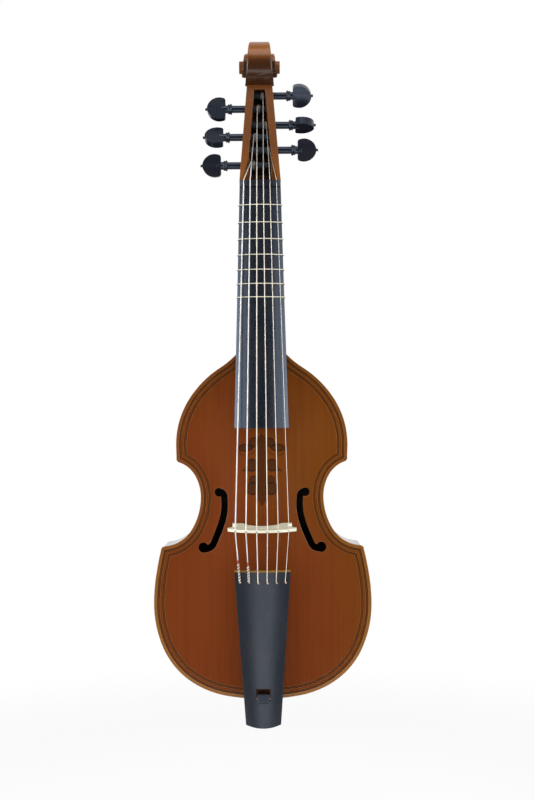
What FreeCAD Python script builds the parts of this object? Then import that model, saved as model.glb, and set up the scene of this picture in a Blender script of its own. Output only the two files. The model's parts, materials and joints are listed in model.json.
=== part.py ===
import FreeCAD, Part
import math
import os

import Sketcher

# A six-string treble viol, upright, in millimetres.
# X points to the player's treble side, Y to the back of the body and Z up along the neck.
# The origin is on the flat back's outer face, on the centre line, level with the string
# line on top of the bridge, so Z is measured from the bridge end of the sounding strings.

os.makedirs("parts", exist_ok=True)
doc = FreeCAD.newDocument("treble_viol")
V = FreeCAD.Vector

SIZES = {
    # Body depths, measured from the outer face of the back towards the belly
    "back_thickness": 3.0,
    "rib_depth": 46.0,
    "rib_thickness": 1.5,
    "belly_thickness": 3.2,
    "glue_line": 0.05,
    "plate_overhang": 1.6,
    "arch_height": 14.0,
    "arch_margin": 12.0,
    "arch_run": 85.0,
    "arch_end_power": 1.6,
    "arch_side_power": 1.2,
    "fold_level": 90.0,
    "fold_drop": 14.0,
    # Outline of the plates: half widths, levels and directions at its named points
    "bottom_level": -176.6,
    "quarter_half": 71.5,
    "quarter_level": -159.6,
    "quarter_angle": 33.0,
    "lower_half": 110.4,
    "lower_level": -80.0,
    "lower_corner_half": 102.5,
    "lower_corner_level": -22.9,
    "lower_corner_angle": 104.0,
    "waist_entry_half": 100.0,
    "waist_entry_level": -21.5,
    "waist_entry_angle": 177.0,
    "waist_half": 62.2,
    "waist_level": 29.0,
    "waist_exit_half": 85.2,
    "waist_exit_level": 64.4,
    "waist_exit_angle": 17.0,
    "upper_corner_half": 86.7,
    "upper_corner_level": 66.6,
    "upper_corner_angle": 92.0,
    "upper_half": 87.0,
    "upper_level": 82.0,
    "shoulder_half": 41.6,
    "shoulder_level": 159.9,
    "shoulder_angle": 147.6,
    "body_top_half": 21.0,
    "body_top_level": 178.0,
    "body_top_angle": 131.3,
    # Purfling: two bands, each one light strip between two dark ones
    "purfling_outer_edge": 3.3,
    "purfling_inner_edge": 8.2,
    "purfling_dark_width": 0.6,
    "purfling_light_width": 1.1,
    "purfling_depth": 1.8,
    # Sound holes
    "hole_top_half": 43.9,
    "hole_top_level": 33.4,
    "hole_top_radius": 4.4,
    "hole_stem_top_half": 43.2,
    "hole_stem_top_level": 34.2,
    "hole_stem_top_angle": 180.0,
    "hole_stem_upper_half": 37.9,
    "hole_stem_upper_level": 21.0,
    "hole_stem_upper_angle": -90.0,
    "hole_stem_lower_half": 43.9,
    "hole_stem_lower_level": -5.4,
    "hole_stem_lower_angle": -68.0,
    "hole_stem_end_half": 58.3,
    "hole_stem_end_level": -23.8,
    "hole_stem_end_angle": 0.0,
    "hole_low_half": 59.6,
    "hole_low_level": -22.4,
    "hole_low_radius": 5.2,
    "hole_stem_width": 6.8,
    # Inside of the body
    "lining_thickness": 2.2,
    "lining_depth": 6.0,
    "top_block_half": 19.5,
    "top_block_low": 152.0,
    "bottom_block_half": 22.0,
    "bottom_block_high": -158.0,
    "lower_block_reach": 22.0,
    "upper_block_reach": 18.0,
    "bass_bar_place": -22.0,
    "bass_bar_width": 5.5,
    "bass_bar_middle_rise": 2.0,
    "bass_bar_end_rise": 7.0,
    "bass_bar_low": -112.0,
    "bass_bar_high": 108.0,
    "post_place": 22.0,
    "post_level": -9.0,
    "post_radius": 3.0,
    "post_plate_half": 48.0,
    "post_plate_low": -42.0,
    "post_plate_high": 24.0,
    "post_plate_thickness": 2.5,
    "back_bar_width": 9.0,
    "back_bar_depth": 6.0,
    "lower_bar_level": -105.0,
    "lower_bar_half": 92.0,
    "fold_bar_half": 74.0,
    # Strings: levels, heights and spacing at the nut and the bridge
    "nut_level": 345.0,
    "nut_length": 6.0,
    "nut_half": 21.0,
    "nut_string_height": 48.9,
    "nut_string_spacing": 6.72,
    "nut_string_radius": 62.0,
    "bridge_string_height": 108.2,
    "bridge_string_spacing": 10.42,
    "bridge_string_radius": 45.0,
    "string_width_1": 0.55,
    "string_width_2": 0.7,
    "string_width_3": 0.85,
    "string_width_4": 1.0,
    "string_width_5": 1.15,
    "string_width_6": 1.3,
    "groove_clearance": 0.04,
    # Neck, fingerboard and frets
    "neck_glue_at_nut": 40.5,
    "neck_glue_at_body": 57.2,
    "neck_side": 1.5,
    "neck_back_at_nut": 27.0,
    "neck_back_at_heel": 37.0,
    "heel_level": 205.0,
    "root_half": 21.0,
    "board_end_level": 99.0,
    "board_end_half": 27.0,
    "board_surface_at_nut": 47.0,
    "board_surface_at_end": 86.5,
    "board_sag_at_nut": 3.6,
    "board_sag_at_end": 8.6,
    "board_end_thickness": 12.0,
    "fret_width": 0.9,
    "fret_gap": 0.15,
    "fret_back_gap": 0.42,
    # Pegbox, scroll and pegs
    "pegbox_top_level": 455.0,
    "pegbox_half_at_nut": 21.2,
    "pegbox_half_at_top": 13.2,
    "pegbox_front_at_nut": 43.0,
    "pegbox_back_at_nut": 20.0,
    "pegbox_front_at_top": 24.0,
    "pegbox_back_at_top": 6.0,
    "cavity_low": 358.0,
    "cavity_bend": 382.0,
    "cavity_high": 450.0,
    "cavity_half_low": 11.4,
    "cavity_half_bend": 11.4,
    "cavity_half_high": 5.6,
    "cavity_floor": 4.0,
    "scoop_half": 18.6,
    "scoop_depth": 9.5,
    "scoop_run": 29.0,
    "scroll_level": 473.9,
    "scroll_place": -20.0,
    "scroll_radius": 26.4,
    "scroll_tightening": 0.0977,
    "scroll_crest_half": 10.1,
    "scroll_chin_half": 15.4,
    "scroll_turn_half": 16.7,
    "scroll_eye_half": 21.0,
    "scroll_eye_radius": 6.2,
    "peg_level_1": 386.1,
    "peg_level_2": 413.1,
    "peg_level_3": 445.1,
    "peg_level_4": 430.8,
    "peg_level_5": 400.2,
    "peg_level_6": 369.7,
    "peg_angle_1": 12.0,
    "peg_angle_2": 78.0,
    "peg_angle_3": 38.0,
    "peg_angle_4": 8.0,
    "peg_angle_5": 36.0,
    "peg_angle_6": -6.0,
    "peg_radius": 3.75,
    "peg_taper": 30.0,
    "peg_clearance": 0.06,
    "peg_collar_radius": 5.6,
    "peg_collar_width": 4.2,
    "peg_reach": 20.6,
    "peg_head_length": 19.5,
    "peg_head_half": 11.2,
    "peg_head_thickness": 7.6,
    "peg_head_round": 3.0,
    "peg_pip_length": 1.8,
    "peg_pip_radius": 1.4,
    "peg_collar_gap": 2.4,
    "winding_gap": 0.05,
    "winding_turns": 4.0,
    "winding_place_1": 9.2,
    "winding_place_2": 6.9,
    "winding_place_3": 3.6,
    "winding_place_4": -2.6,
    "winding_place_5": -6.2,
    "winding_place_6": -9.5,
    # Bridge
    "bridge_tail_face": 1.5,
    "bridge_foot_depth": 4.6,
    "bridge_wing_depth": 3.0,
    "bridge_top_depth": 2.4,
    "bridge_foot_inner": 18.6,
    "bridge_foot_outer": 29.7,
    "bridge_wing_half": 33.7,
    "bridge_wing_drop": 15.2,
    "bridge_wing_thickness": 5.0,
    "bridge_ankle_inset": 5.5,
    "bridge_ankle_rise": 15.0,
    "bridge_arch_rise": 21.0,
    "bridge_heart_radius": 3.6,
    "bridge_heart_drop": 16.0,
    "bridge_eye_radius": 3.2,
    "bridge_eye_place": 14.0,
    "bridge_eye_drop": 20.0,
    # Tailpiece and the hook bar that holds it
    "tail_top_level": -41.0,
    "tail_top_half": 27.8,
    "tail_top_front": 90.0,
    "tail_end_level": -203.8,
    "tail_end_half": 17.5,
    "tail_end_front": 62.5,
    "tail_thickness": 7.0,
    "tail_sag": 3.4,
    "tail_end_curve": 3.6,
    "tail_saddle_length": 1.3,
    "tail_hole_level": -52.6,
    "tail_hole_spacing": 8.95,
    "tail_hole_radius": 1.5,
    "slot_half": 7.2,
    "slot_high": -162.0,
    "hook_half": 6.3,
    "hook_high": -168.5,
    "hook_low": -174.5,
    "hook_foot": 8.0,
    "hook_tip": 73.0,
    "hook_lip": 2.4,
}

sheet = doc.addObject("Spreadsheet::Sheet", "sizes")
for row, (alias, number) in enumerate(SIZES.items(), start=1):
    sheet.set(f"A{row}", alias)
    sheet.set(f"B{row}", str(number))
    sheet.setAlias(f"B{row}", alias)
doc.recompute()


class Size:
    """A number together with the sheet expression that gives it."""

    def __init__(self, value, text):
        self.value = float(value)
        self.text = text

    def __add__(self, other):
        other = as_size(other)
        return Size(self.value + other.value, f"({self.text} + {other.text})")

    def __sub__(self, other):
        other = as_size(other)
        return Size(self.value - other.value, f"({self.text} - {other.text})")

    def __mul__(self, other):
        other = as_size(other)
        return Size(self.value * other.value, f"({self.text} * {other.text})")

    def __truediv__(self, other):
        other = as_size(other)
        return Size(self.value / other.value, f"({self.text} / {other.text})")

    def __rtruediv__(self, other):
        return as_size(other) / self

    def __neg__(self):
        return Size(-self.value, f"(0 - {self.text})")

    def __radd__(self, other):
        return as_size(other) + self

    def __rsub__(self, other):
        return as_size(other) - self

    def __rmul__(self, other):
        return as_size(other) * self

    def __float__(self):
        return self.value


def as_size(number):
    return number if isinstance(number, Size) else Size(number, f"({float(number)})")


class Cells:
    """Reads a size of the sheet by its alias, such as S.rib_depth."""

    def __getattr__(self, alias):
        return Size(sheet.get(alias), f"sizes.{alias}")


S = Cells()


def numbered(alias, number):
    """One of a run of like sizes, such as peg_level_3."""
    return getattr(S, f"{alias}_{number}")


def between(start, end, start_level, end_level, level):
    """The size on the straight line from one level to another."""
    return start + (end - start) * (level - start_level) / (end_level - start_level)


def bind(thing, path, number):
    number = as_size(number)
    thing.setExpression(path, number.text)


# Sketches, pads and lofts

def new_body(label):
    part = doc.addObject("PartDesign::Body", label)
    part.Label = label
    return part


def new_sketch(body, name, role, offset=0):
    """A sketch on one of the body's origin planes, moved along that plane's normal."""
    sketch = body.newObject("Sketcher::SketchObject", name)
    plane = [feature for feature in body.Origin.OriginFeatures if feature.Role == role][0]
    sketch.AttachmentSupport = [(plane, "")]
    sketch.MapMode = "FlatFace"
    bind(sketch, "AttachmentOffset.Base.z", offset)
    return sketch


def pin(sketch, geometry, point, x, y):
    """Holds a point of the sketch at sheet sizes x and y."""
    for kind, number in (("DistanceX", as_size(x)), ("DistanceY", as_size(y))):
        index = sketch.addConstraint(Sketcher.Constraint(kind, geometry, point, number.value))
        if number.text != f"({number.value})":
            name = f"{kind}_{geometry}_{point}"
            sketch.renameConstraint(index, name)
            bind(sketch, f"Constraints.{name}", number)


def flat(x, y):
    return V(float(x), float(y), 0)


def ends(sketch, edge, start):
    """Which of an edge's two ends is at a point, and which is the other."""
    if (sketch.getPoint(edge, 1) - start).Length < 1e-6:
        return 1, 2
    return 2, 1


def draw(sketch, points):
    """Draws a closed outline. A point is (x, y), or (x, y, x_mid, y_mid) after an arc."""
    corners = [flat(point[0], point[1]) for point in points]
    for index, point in enumerate(points):
        if len(point) == 4:
            middle = flat(point[2], point[3])
            sketch.addGeometry(Part.Arc(corners[index - 1], middle, corners[index]))
        else:
            sketch.addGeometry(Part.LineSegment(corners[index - 1], corners[index]))
    for index, point in enumerate(points):
        follower = (index + 1) % len(points)
        finish = ends(sketch, index, corners[index - 1])[1]
        start = ends(sketch, follower, corners[index])[0]
        sketch.addConstraint(
            Sketcher.Constraint("Coincident", index, finish, follower, start))
        pin(sketch, index, finish, point[0], point[1])
    for index, point in enumerate(points):
        if len(point) == 4:
            through = sketch.addGeometry(Part.Point(flat(point[2], point[3])), True)
            sketch.addConstraint(Sketcher.Constraint("PointOnObject", through, 1, index))
            pin(sketch, through, 1, point[2], point[3])


def draw_circle(sketch, x, y, radius):
    radius = as_size(radius)
    circle = sketch.addGeometry(Part.Circle(flat(x, y), V(0, 0, 1), radius.value))
    pin(sketch, circle, 3, x, y)
    index = sketch.addConstraint(Sketcher.Constraint("Radius", circle, radius.value))
    sketch.renameConstraint(index, f"radius_{circle}")
    bind(sketch, f"Constraints.radius_{circle}", radius)


def pad(body, name, sketch, length, both_ways=False, cut=False, reverse=False):
    """Extrudes a sketch, as a Pad or, where it cuts, as a Pocket."""
    kind = "PartDesign::Pocket" if cut else "PartDesign::Pad"
    feature = body.newObject(kind, name)
    feature.Profile = sketch
    feature.SideType = "Symmetric" if both_ways else "One side"
    feature.Reversed = reverse
    bind(feature, "Length", length)
    return feature


def loft(body, name, sketches, cut=False, straight=True):
    kind = "PartDesign::SubtractiveLoft" if cut else "PartDesign::AdditiveLoft"
    feature = body.newObject(kind, name)
    feature.Profile = sketches[0]
    feature.Sections = sketches[1:]
    feature.Ruled = straight
    return feature


def arched(body, name, level, half, flat_y, side_y, crown_y):
    """A level section with one flat side and one arched side."""
    sketch = new_sketch(body, name, "XY_Plane", level)
    draw(sketch, [(-half, flat_y), (half, flat_y), (half, side_y), (-half, side_y, 0, crown_y)])
    return sketch


def box_section(body, name, level, half, front, back):
    sketch = new_sketch(body, name, "XY_Plane", level)
    draw(sketch, [(-half, front), (half, front), (half, back), (-half, back)])
    return sketch


# Booleans and shapes worked out from formulas

def boolean(kind, name, base, tool):
    feature = doc.addObject(f"Part::{kind}", name)
    feature.Base = base
    feature.Tool = tool
    return feature


def cut(name, base, *tools):
    for number, tool in enumerate(tools, start=1):
        step = name if number == len(tools) else f"{name}_step_{number}"
        base = boolean("Cut", step, base, tool)
    return base


def common(name, base, *tools):
    for number, tool in enumerate(tools, start=1):
        step = name if number == len(tools) else f"{name}_step_{number}"
        base = boolean("Common", step, base, tool)
    return base


def shaped(name, shape):
    feature = doc.addObject("Part::Feature", name)
    feature.Shape = shape
    return feature


def group(name, members):
    feature = doc.addObject("Part::Compound", name)
    feature.Links = members
    return feature


def extruded(name, base, length):
    """Extrudes a face in the plane Y = 0 towards the belly side."""
    feature = doc.addObject("Part::Extrusion", name)
    feature.Base = base
    feature.DirMode = "Custom"
    feature.Dir = V(0, -1, 0)
    feature.Solid = True
    bind(feature, "LengthFwd", length)
    return feature


def block(name, low, high):
    """A box between two corners given as sheet sizes."""
    feature = doc.addObject("Part::Box", name)
    for side, axis, start, end in zip(("Length", "Width", "Height"), "xyz", low, high):
        bind(feature, side, as_size(end) - start)
        bind(feature, f"Placement.Base.{axis}", start)
    return feature


# Outline of the plates

def heading(angle):
    return V(math.cos(math.radians(float(angle))), 0, math.sin(math.radians(float(angle))))


def arc_from(start, direction, end):
    """The arc that leaves start along direction and reaches end."""
    chord = end - start
    along = V(chord).normalize()
    turn = math.atan2(direction.x * along.z - direction.z * along.x, direction.dot(along))
    if abs(turn) < 1e-4:
        return Part.LineSegment(start, end).toShape()
    rise = chord.Length / 2 * math.tan(turn / 2)
    middle = (start + end) / 2 + V(along.z, 0, -along.x) * rise
    return Part.Arc(start, middle, end).toShape()


def two_arcs(start, leaving, end, arriving):
    """Two arcs, tangent where they meet, between two points with given directions."""
    span = end - start
    both = leaving + arriving
    square = 2 * (1 - leaving.dot(arriving))
    linear = 2 * span.dot(both)
    constant = -span.dot(span)
    if abs(square) < 1e-9:
        reach = -constant / linear
    else:
        root = math.sqrt(linear * linear - 4 * square * constant)
        reach = (root - linear) / (2 * square)
    leg_start = start + leaving * reach
    leg_end = end - arriving * reach
    joint = (leg_start + leg_end) / 2
    middle = V(leg_end - leg_start).normalize()
    return [arc_from(start, leaving, joint), arc_from(joint, middle, end)]


def smooth_run(nodes):
    edges = []
    for (start, leaving), (end, arriving) in zip(nodes, nodes[1:]):
        edges += two_arcs(start, heading(leaving), end, heading(arriving))
    return edges


def at(half, level):
    return V(float(half), 0, float(level))


lower_corner = at(S.lower_corner_half, S.lower_corner_level)
waist_entry = at(S.waist_entry_half, S.waist_entry_level)
waist_exit = at(S.waist_exit_half, S.waist_exit_level)
upper_corner = at(S.upper_corner_half, S.upper_corner_level)
body_top = at(S.body_top_half, S.body_top_level)

lower_run = smooth_run([
    (at(0, S.bottom_level), 0),
    (at(S.quarter_half, S.quarter_level), S.quarter_angle),
    (at(S.lower_half, S.lower_level), 90),
    (lower_corner, S.lower_corner_angle),
])
waist_run = smooth_run([
    (waist_entry, S.waist_entry_angle),
    (at(S.waist_half, S.waist_level), 90),
    (waist_exit, S.waist_exit_angle),
])
upper_run = smooth_run([
    (upper_corner, S.upper_corner_angle),
    (at(S.upper_half, S.upper_level), 90),
    (at(S.shoulder_half, S.shoulder_level), S.shoulder_angle),
    (body_top, S.body_top_angle),
])
lower_tip = Part.LineSegment(lower_corner, waist_entry).toShape()
upper_tip = Part.LineSegment(waist_exit, upper_corner).toShape()
treble_side = lower_run + [lower_tip] + waist_run + [upper_tip] + upper_run
bass_side = [edge.mirror(V(0, 0, 0), V(1, 0, 0)) for edge in treble_side]
top_edge = Part.LineSegment(body_top, V(-body_top.x, 0, body_top.z)).toShape()
outline_wire = Part.Wire(Part.__sortEdges__(treble_side + [top_edge] + bass_side))
outline = shaped("outline", Part.Face(outline_wire))


def inset(name, distance):
    """The outline moved inwards by a sheet size."""
    feature = doc.addObject("Part::Offset2D", name)
    feature.Source = outline
    feature.Join = "Intersection"
    bind(feature, "Value", -as_size(distance))
    return feature


def band(name, outer, inner, length):
    """A ring between two insets of the outline, extruded to the belly side."""
    outside = extruded(f"{name}_outside", inset(f"{name}_outer", outer), length)
    inside = extruded(f"{name}_inside", inset(f"{name}_inner", inner), length)
    return cut(name, outside, inside)


belly_back_face = S.back_thickness + S.rib_depth + S.glue_line
belly_edge_face = belly_back_face + S.belly_thickness
rib_front = S.back_thickness + S.rib_depth
past_body = belly_edge_face + S.arch_height * 2
rib_outer = S.plate_overhang
rib_inner = rib_outer + S.rib_thickness
lining_inner = rib_inner + S.lining_thickness
far_side = S.lower_half + 30
below_body = S.bottom_level - 20
above_body = S.body_top_level + 20


# Side profiles, extruded across the body

def side_profile(label, points):
    """A solid whose outline in the Y, Z plane is given, as wide as the body and more."""
    body = new_body(label)
    sketch = new_sketch(body, f"{label}_sketch", "YZ_Plane")
    draw(sketch, points)
    pad(body, f"{label}_pad", sketch, far_side * 2, both_ways=True)
    return body


fold_rate = S.fold_drop / (S.body_top_level - S.fold_level)
fold_past = fold_rate * (above_body - S.fold_level)


def behind(front, back, name):
    """The space between a depth from the belly and a depth from the folded back."""
    return side_profile(name, [
        (-back, below_body), (-back, S.fold_level), (-back - fold_past, above_body),
        (-front, above_body), (-front, below_body)])


back_sheet = side_profile("back_sheet", [
    (0, below_body), (0, S.fold_level), (-fold_past, above_body),
    (-fold_past - S.back_thickness, above_body), (-S.back_thickness, S.fold_level),
    (-S.back_thickness, below_body)])
back_glue_face = S.back_thickness + S.glue_line
rib_space = behind(rib_front, back_glue_face, "rib_space")
lining_gap = behind(rib_front - S.lining_depth, back_glue_face + S.lining_depth, "lining_gap")

plate_blank = extruded("plate_blank", outline, past_body)
rib_ring = common("rib_ring", band("rib_band", rib_outer, rib_inner, past_body), rib_space)
inner_space = common(
    "inner_space",
    extruded("inner_blank", inset("inner_outline", rib_inner), past_body), rib_space)


def front_zone(name, points):
    """A solid whose outline in the X, Z plane is given, deeper than the body."""
    body = new_body(name)
    sketch = new_sketch(body, f"{name}_sketch", "XZ_Plane")
    draw(sketch, points)
    pad(body, f"{name}_pad", sketch, past_body)
    return body


# Back: flush with the ribs all round
back_blank = extruded("back_blank", inset("back_outline", rib_outer), past_body)
back = common("back", back_blank, back_sheet)

# The hook bar's seat, shared by everything it is let into
hook_seat = block("hook_seat", (-S.hook_half, -past_body * 2, S.hook_low - 10),
                  (S.hook_half, -S.hook_foot, S.hook_high))

# Blocks
top_block = common("top_block", plate_blank, rib_space, block(
    "top_block_room", (-S.top_block_half, -past_body, S.top_block_low),
    (S.top_block_half, 0, above_body)))
bottom_block_blank = common("bottom_block_blank", inner_space, block(
    "bottom_block_room", (-S.bottom_block_half, -past_body, below_body),
    (S.bottom_block_half, 0, S.bottom_block_high)))
bottom_block = cut("bottom_block", bottom_block_blank, hook_seat)


def corner_zones():
    """One zone round each corner, where a block fills the ribs' meeting."""
    zones = []
    for side, sign in (("bass", -1), ("treble", 1)):
        reach = S.lower_block_reach
        half = S.lower_corner_half
        level = S.lower_corner_level
        zones.append(front_zone(f"lower_{side}_corner_zone", [
            (sign * (half + reach), level + reach), (sign * (half + reach), level - reach),
            (sign * (half - 4), level - reach), (sign * (half - reach), level - 1),
            (sign * (half - reach), level + reach)]))
        reach = S.upper_block_reach
        half = S.upper_corner_half
        level = S.upper_corner_level
        zones.append(front_zone(f"upper_{side}_corner_zone", [
            (sign * (half + reach), level - reach), (sign * (half + reach), level + reach),
            (sign * (half - 4), level + reach), (sign * (half - reach), level + 1),
            (sign * (half - reach), level - reach)]))
    return zones


corner_blocks = group("corner_blocks", [
    common(f"{zone.Name}_block", inner_space, zone) for zone in corner_zones()])

# Ribs: six pieces that meet at the corners, the bottom seam and the top block
lower_tip_half = (S.lower_corner_half + S.waist_entry_half) / 2
lower_tip_level = (S.lower_corner_level + S.waist_entry_level) / 2
upper_tip_half = (S.waist_exit_half + S.upper_corner_half) / 2
upper_tip_level = (S.waist_exit_level + S.upper_corner_level) / 2
mitre_half = S.lower_block_reach * 0.4
mitre_level = S.lower_block_reach * 0.5


def rib_zones(sign):
    """Where the lower, waist and upper rib of one side lie, mitred at the corners."""
    lower_in = (sign * (lower_tip_half - mitre_half), lower_tip_level - mitre_level)
    lower_out = (sign * (lower_tip_half + mitre_half), lower_tip_level + mitre_level)
    upper_in = (sign * (upper_tip_half - mitre_half), upper_tip_level + mitre_level)
    upper_out = (sign * (upper_tip_half + mitre_half), upper_tip_level - mitre_level)
    outside = sign * far_side
    block_side = sign * S.top_block_half
    lower = [(0, below_body), (outside, below_body), (outside, lower_out[1]), lower_out,
             lower_in, (0, lower_in[1])]
    waist = [lower_in, lower_out, (outside, lower_out[1]), (outside, upper_out[1]),
             upper_out, upper_in, (sign * S.waist_half / 2, upper_in[1]),
             (sign * S.waist_half / 2, lower_in[1])]
    upper = [upper_in, upper_out, (outside, upper_out[1]), (outside, above_body),
             (block_side, above_body), (block_side, upper_in[1])]
    return {"lower": lower, "waist": waist, "upper": upper}


ribs = []
for side, sign in (("bass", -1), ("treble", 1)):
    for bout, points in rib_zones(sign).items():
        zone = front_zone(f"{bout}_{side}_zone", points)
        name = f"rib_{bout}_{side}"
        if bout == "lower":
            ribs.append(cut(name, common(f"{name}_blank", rib_ring, zone), hook_seat))
        else:
            ribs.append(common(name, rib_ring, zone))

# Linings, let in between the blocks
lining_ring = common(
    "lining_ring", band("lining_band", rib_inner, lining_inner, past_body), rib_space)
top_room = block("top_lining_room", (-S.body_top_half, -past_body, S.top_block_low),
                 (S.body_top_half, 0, above_body))
lining_strips = cut("lining_strips", lining_ring, corner_blocks, top_room, bottom_block_blank)
belly_zone = block("belly_zone", (-far_side, -past_body, below_body),
                   (far_side, -(rib_front - S.lining_depth), above_body))
belly_linings = common("belly_linings", lining_strips, belly_zone)
back_linings = cut("back_linings", cut("back_side_strips", lining_strips, belly_zone), lining_gap)


# Belly: an even plate over an arched surface, flat near its edges

def inner_half_widths():
    """Half widths of the outline inside its flat margin, as (level, half width)."""
    wire = outline_wire.makeOffset2D(-float(S.arch_margin), join=2)
    points = [point for point in wire.discretize(Distance=2.0) if point.x >= 0]
    return sorted((point.z, point.x) for point in points)


def arch_half_width(level, samples, window=14.0):
    """The mean half width over a window of levels, which smooths the corners away."""
    near = [half for z, half in samples if abs(z - level) < window]
    if near:
        return sum(near) / len(near)
    return samples[0][1] if level < samples[0][0] else samples[-1][1]


def arch(x, z, samples):
    """Height of the belly over its edge."""
    low = samples[0][0]
    high = samples[-1][0]
    from_end = min(z - low, high - z)
    if from_end <= 0:
        return 0.0
    run = float(S.arch_run)
    along = 1.0 if from_end >= run else math.sin(math.pi / 2 * from_end / run) ** float(S.arch_end_power)
    share = abs(x) / max(arch_half_width(z, samples), 1.0)
    across = 0.0
    if share < 1:
        across = (1 + math.cos(math.pi * share ** float(S.arch_side_power))) / 2
    return float(S.arch_height) * along * across


def arch_surface(edge_depth):
    """A smooth surface with the belly's arching, its edge at a given depth."""
    samples = inner_half_widths()
    step = 6.0
    across = int(float(far_side) // step) + 1
    low = int((float(below_body) - 20) // step)
    high = int((float(above_body) + 20) // step)
    poles = [[V(i * step, -float(edge_depth) - arch(i * step, j * step, samples), j * step)
              for j in range(low, high + 1)] for i in range(-across, across + 1)]
    surface = Part.BSplineSurface()
    knots_u = list(range(len(poles) - 2))
    knots_v = list(range(len(poles[0]) - 2))
    ends_u = [4] + [1] * (len(knots_u) - 2) + [4]
    ends_v = [4] + [1] * (len(knots_v) - 2) + [4]
    surface.buildFromPolesMultsKnots(
        poles, ends_u, ends_v, knots_u, knots_v, False, False, 3, 3)
    return surface.toShape()


belly_top = arch_surface(belly_edge_face)
belly_sheet = shaped("belly_sheet", belly_top.extrude(V(0, float(S.belly_thickness), 0)))
in_front_of_belly = shaped("in_front_of_belly", arch_surface(
    belly_back_face - S.glue_line).extrude(V(0, -200, 0)))
behind_belly = shaped("behind_belly", belly_top.extrude(V(0, 60, 0)))


def sound_hole():
    """The bass side's sound hole as a face: a curved stem between two round eyes."""
    def node(half, level, angle):
        direction = heading(angle)
        return V(-float(half), 0, float(level)), V(-direction.x, 0, direction.z)

    nodes = [
        node(S.hole_stem_top_half, S.hole_stem_top_level, S.hole_stem_top_angle),
        node(S.hole_stem_upper_half, S.hole_stem_upper_level, S.hole_stem_upper_angle),
        node(S.hole_stem_lower_half, S.hole_stem_lower_level, S.hole_stem_lower_angle),
        node(S.hole_stem_end_half, S.hole_stem_end_level, S.hole_stem_end_angle),
    ]
    spine = []
    for (start, leaving), (end, arriving) in zip(nodes, nodes[1:]):
        spine += two_arcs(start, leaving, end, arriving)
    stem = Part.Wire(spine).makeOffset2D(
        float(S.hole_stem_width) / 2, join=0, openResult=False, fill=True)
    eyes = [
        Part.Face(Part.Wire(Part.Circle(
            V(-float(half), 0, float(level)), V(0, 1, 0), float(radius)).toShape()))
        for half, level, radius in (
            (S.hole_top_half, S.hole_top_level, S.hole_top_radius),
            (S.hole_low_half, S.hole_low_level, S.hole_low_radius))]
    return stem.fuse(eyes).removeSplitter()


hole_prism = sound_hole().extrude(V(0, -float(past_body), 0))
hole_cutters = [shaped("bass_hole_cutter", hole_prism),
                shaped("treble_hole_cutter", hole_prism.mirror(V(0, 0, 0), V(1, 0, 0)))]

# Purfling: strips let into the flat margin
groove_floor = belly_edge_face - S.purfling_depth


def strip(name, start, width):
    """One purfling strip, flush with the belly's edge face."""
    ring = band(f"{name}_ring", start, start + width, belly_edge_face)
    floor = block(f"{name}_under", (-far_side, -groove_floor, below_body),
                  (far_side, 0, above_body))
    return cut(name, ring, floor, hook_seat)


dark_strips = []
light_strips = []
for name, start in (("outer", S.purfling_outer_edge), ("inner", S.purfling_inner_edge)):
    light_start = start + S.purfling_dark_width
    light_end = light_start + S.purfling_light_width
    dark_strips.append(strip(f"{name}_dark_first", start, S.purfling_dark_width))
    light_strips.append(strip(f"{name}_light", light_start, S.purfling_light_width))
    dark_strips.append(strip(f"{name}_dark_second", light_end, S.purfling_dark_width))
purfling_dark = group("purfling_dark", dark_strips)
purfling_light = group("purfling_light", light_strips)
purfling_total = S.purfling_dark_width * 2 + S.purfling_light_width
groove_rings = []
for name, start in (("outer", S.purfling_outer_edge), ("inner", S.purfling_inner_edge)):
    ring = band(f"{name}_groove_ring", start, start + purfling_total, past_body)
    floor = block(f"{name}_groove_under", (-far_side, -groove_floor, below_body),
                  (far_side, 0, above_body))
    groove_rings.append(cut(f"{name}_groove", ring, floor))
belly = cut("belly", common("belly_blank", plate_blank, belly_sheet),
            *hole_cutters, *groove_rings, hook_seat)

# Bass bar, sound post and the inside of the back
bass_bar_body = new_body("bass_bar_blank")
bass_bar_sketch = new_sketch(bass_bar_body, "bass_bar_sketch", "YZ_Plane", S.bass_bar_place)
bar_inner = belly_back_face + S.bass_bar_middle_rise
bar_end = belly_back_face + S.bass_bar_end_rise
bar_middle = (S.bass_bar_low + S.bass_bar_high) / 2
draw(bass_bar_sketch, [
    (-past_body, S.bass_bar_low), (-bar_end, S.bass_bar_low),
    (-bar_end, S.bass_bar_high, -bar_inner, bar_middle), (-past_body, S.bass_bar_high)])
pad(bass_bar_body, "bass_bar_pad", bass_bar_sketch, S.bass_bar_width, both_ways=True)
bass_bar = cut("bass_bar", bass_bar_body, in_front_of_belly)

soundpost_plate = block(
    "soundpost_plate",
    (-S.post_plate_half, -(back_glue_face + S.post_plate_thickness), S.post_plate_low),
    (S.post_plate_half, -back_glue_face, S.post_plate_high))
post_blank = doc.addObject("Part::Cylinder", "post_blank")
post_blank.Placement = FreeCAD.Placement(V(), FreeCAD.Rotation(V(1, 0, 0), 90))
bind(post_blank, "Radius", S.post_radius)
bind(post_blank, "Height", past_body)
bind(post_blank, "Placement.Base.x", S.post_place)
bind(post_blank, "Placement.Base.y", -(back_glue_face + S.post_plate_thickness))
bind(post_blank, "Placement.Base.z", S.post_level)
soundpost = cut("soundpost", post_blank, in_front_of_belly)


def back_bar(name, half, level):
    return block(name, (-half, -(back_glue_face + S.back_bar_depth), level - S.back_bar_width),
                 (half, -back_glue_face, level))


back_bars = group("back_bars", [
    back_bar("lower_back_bar", S.lower_bar_half, S.lower_bar_level),
    back_bar("fold_back_bar", S.fold_bar_half, S.fold_level)])

# Strings: their paths, which the nut, bridge and tailpiece are grooved for


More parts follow.
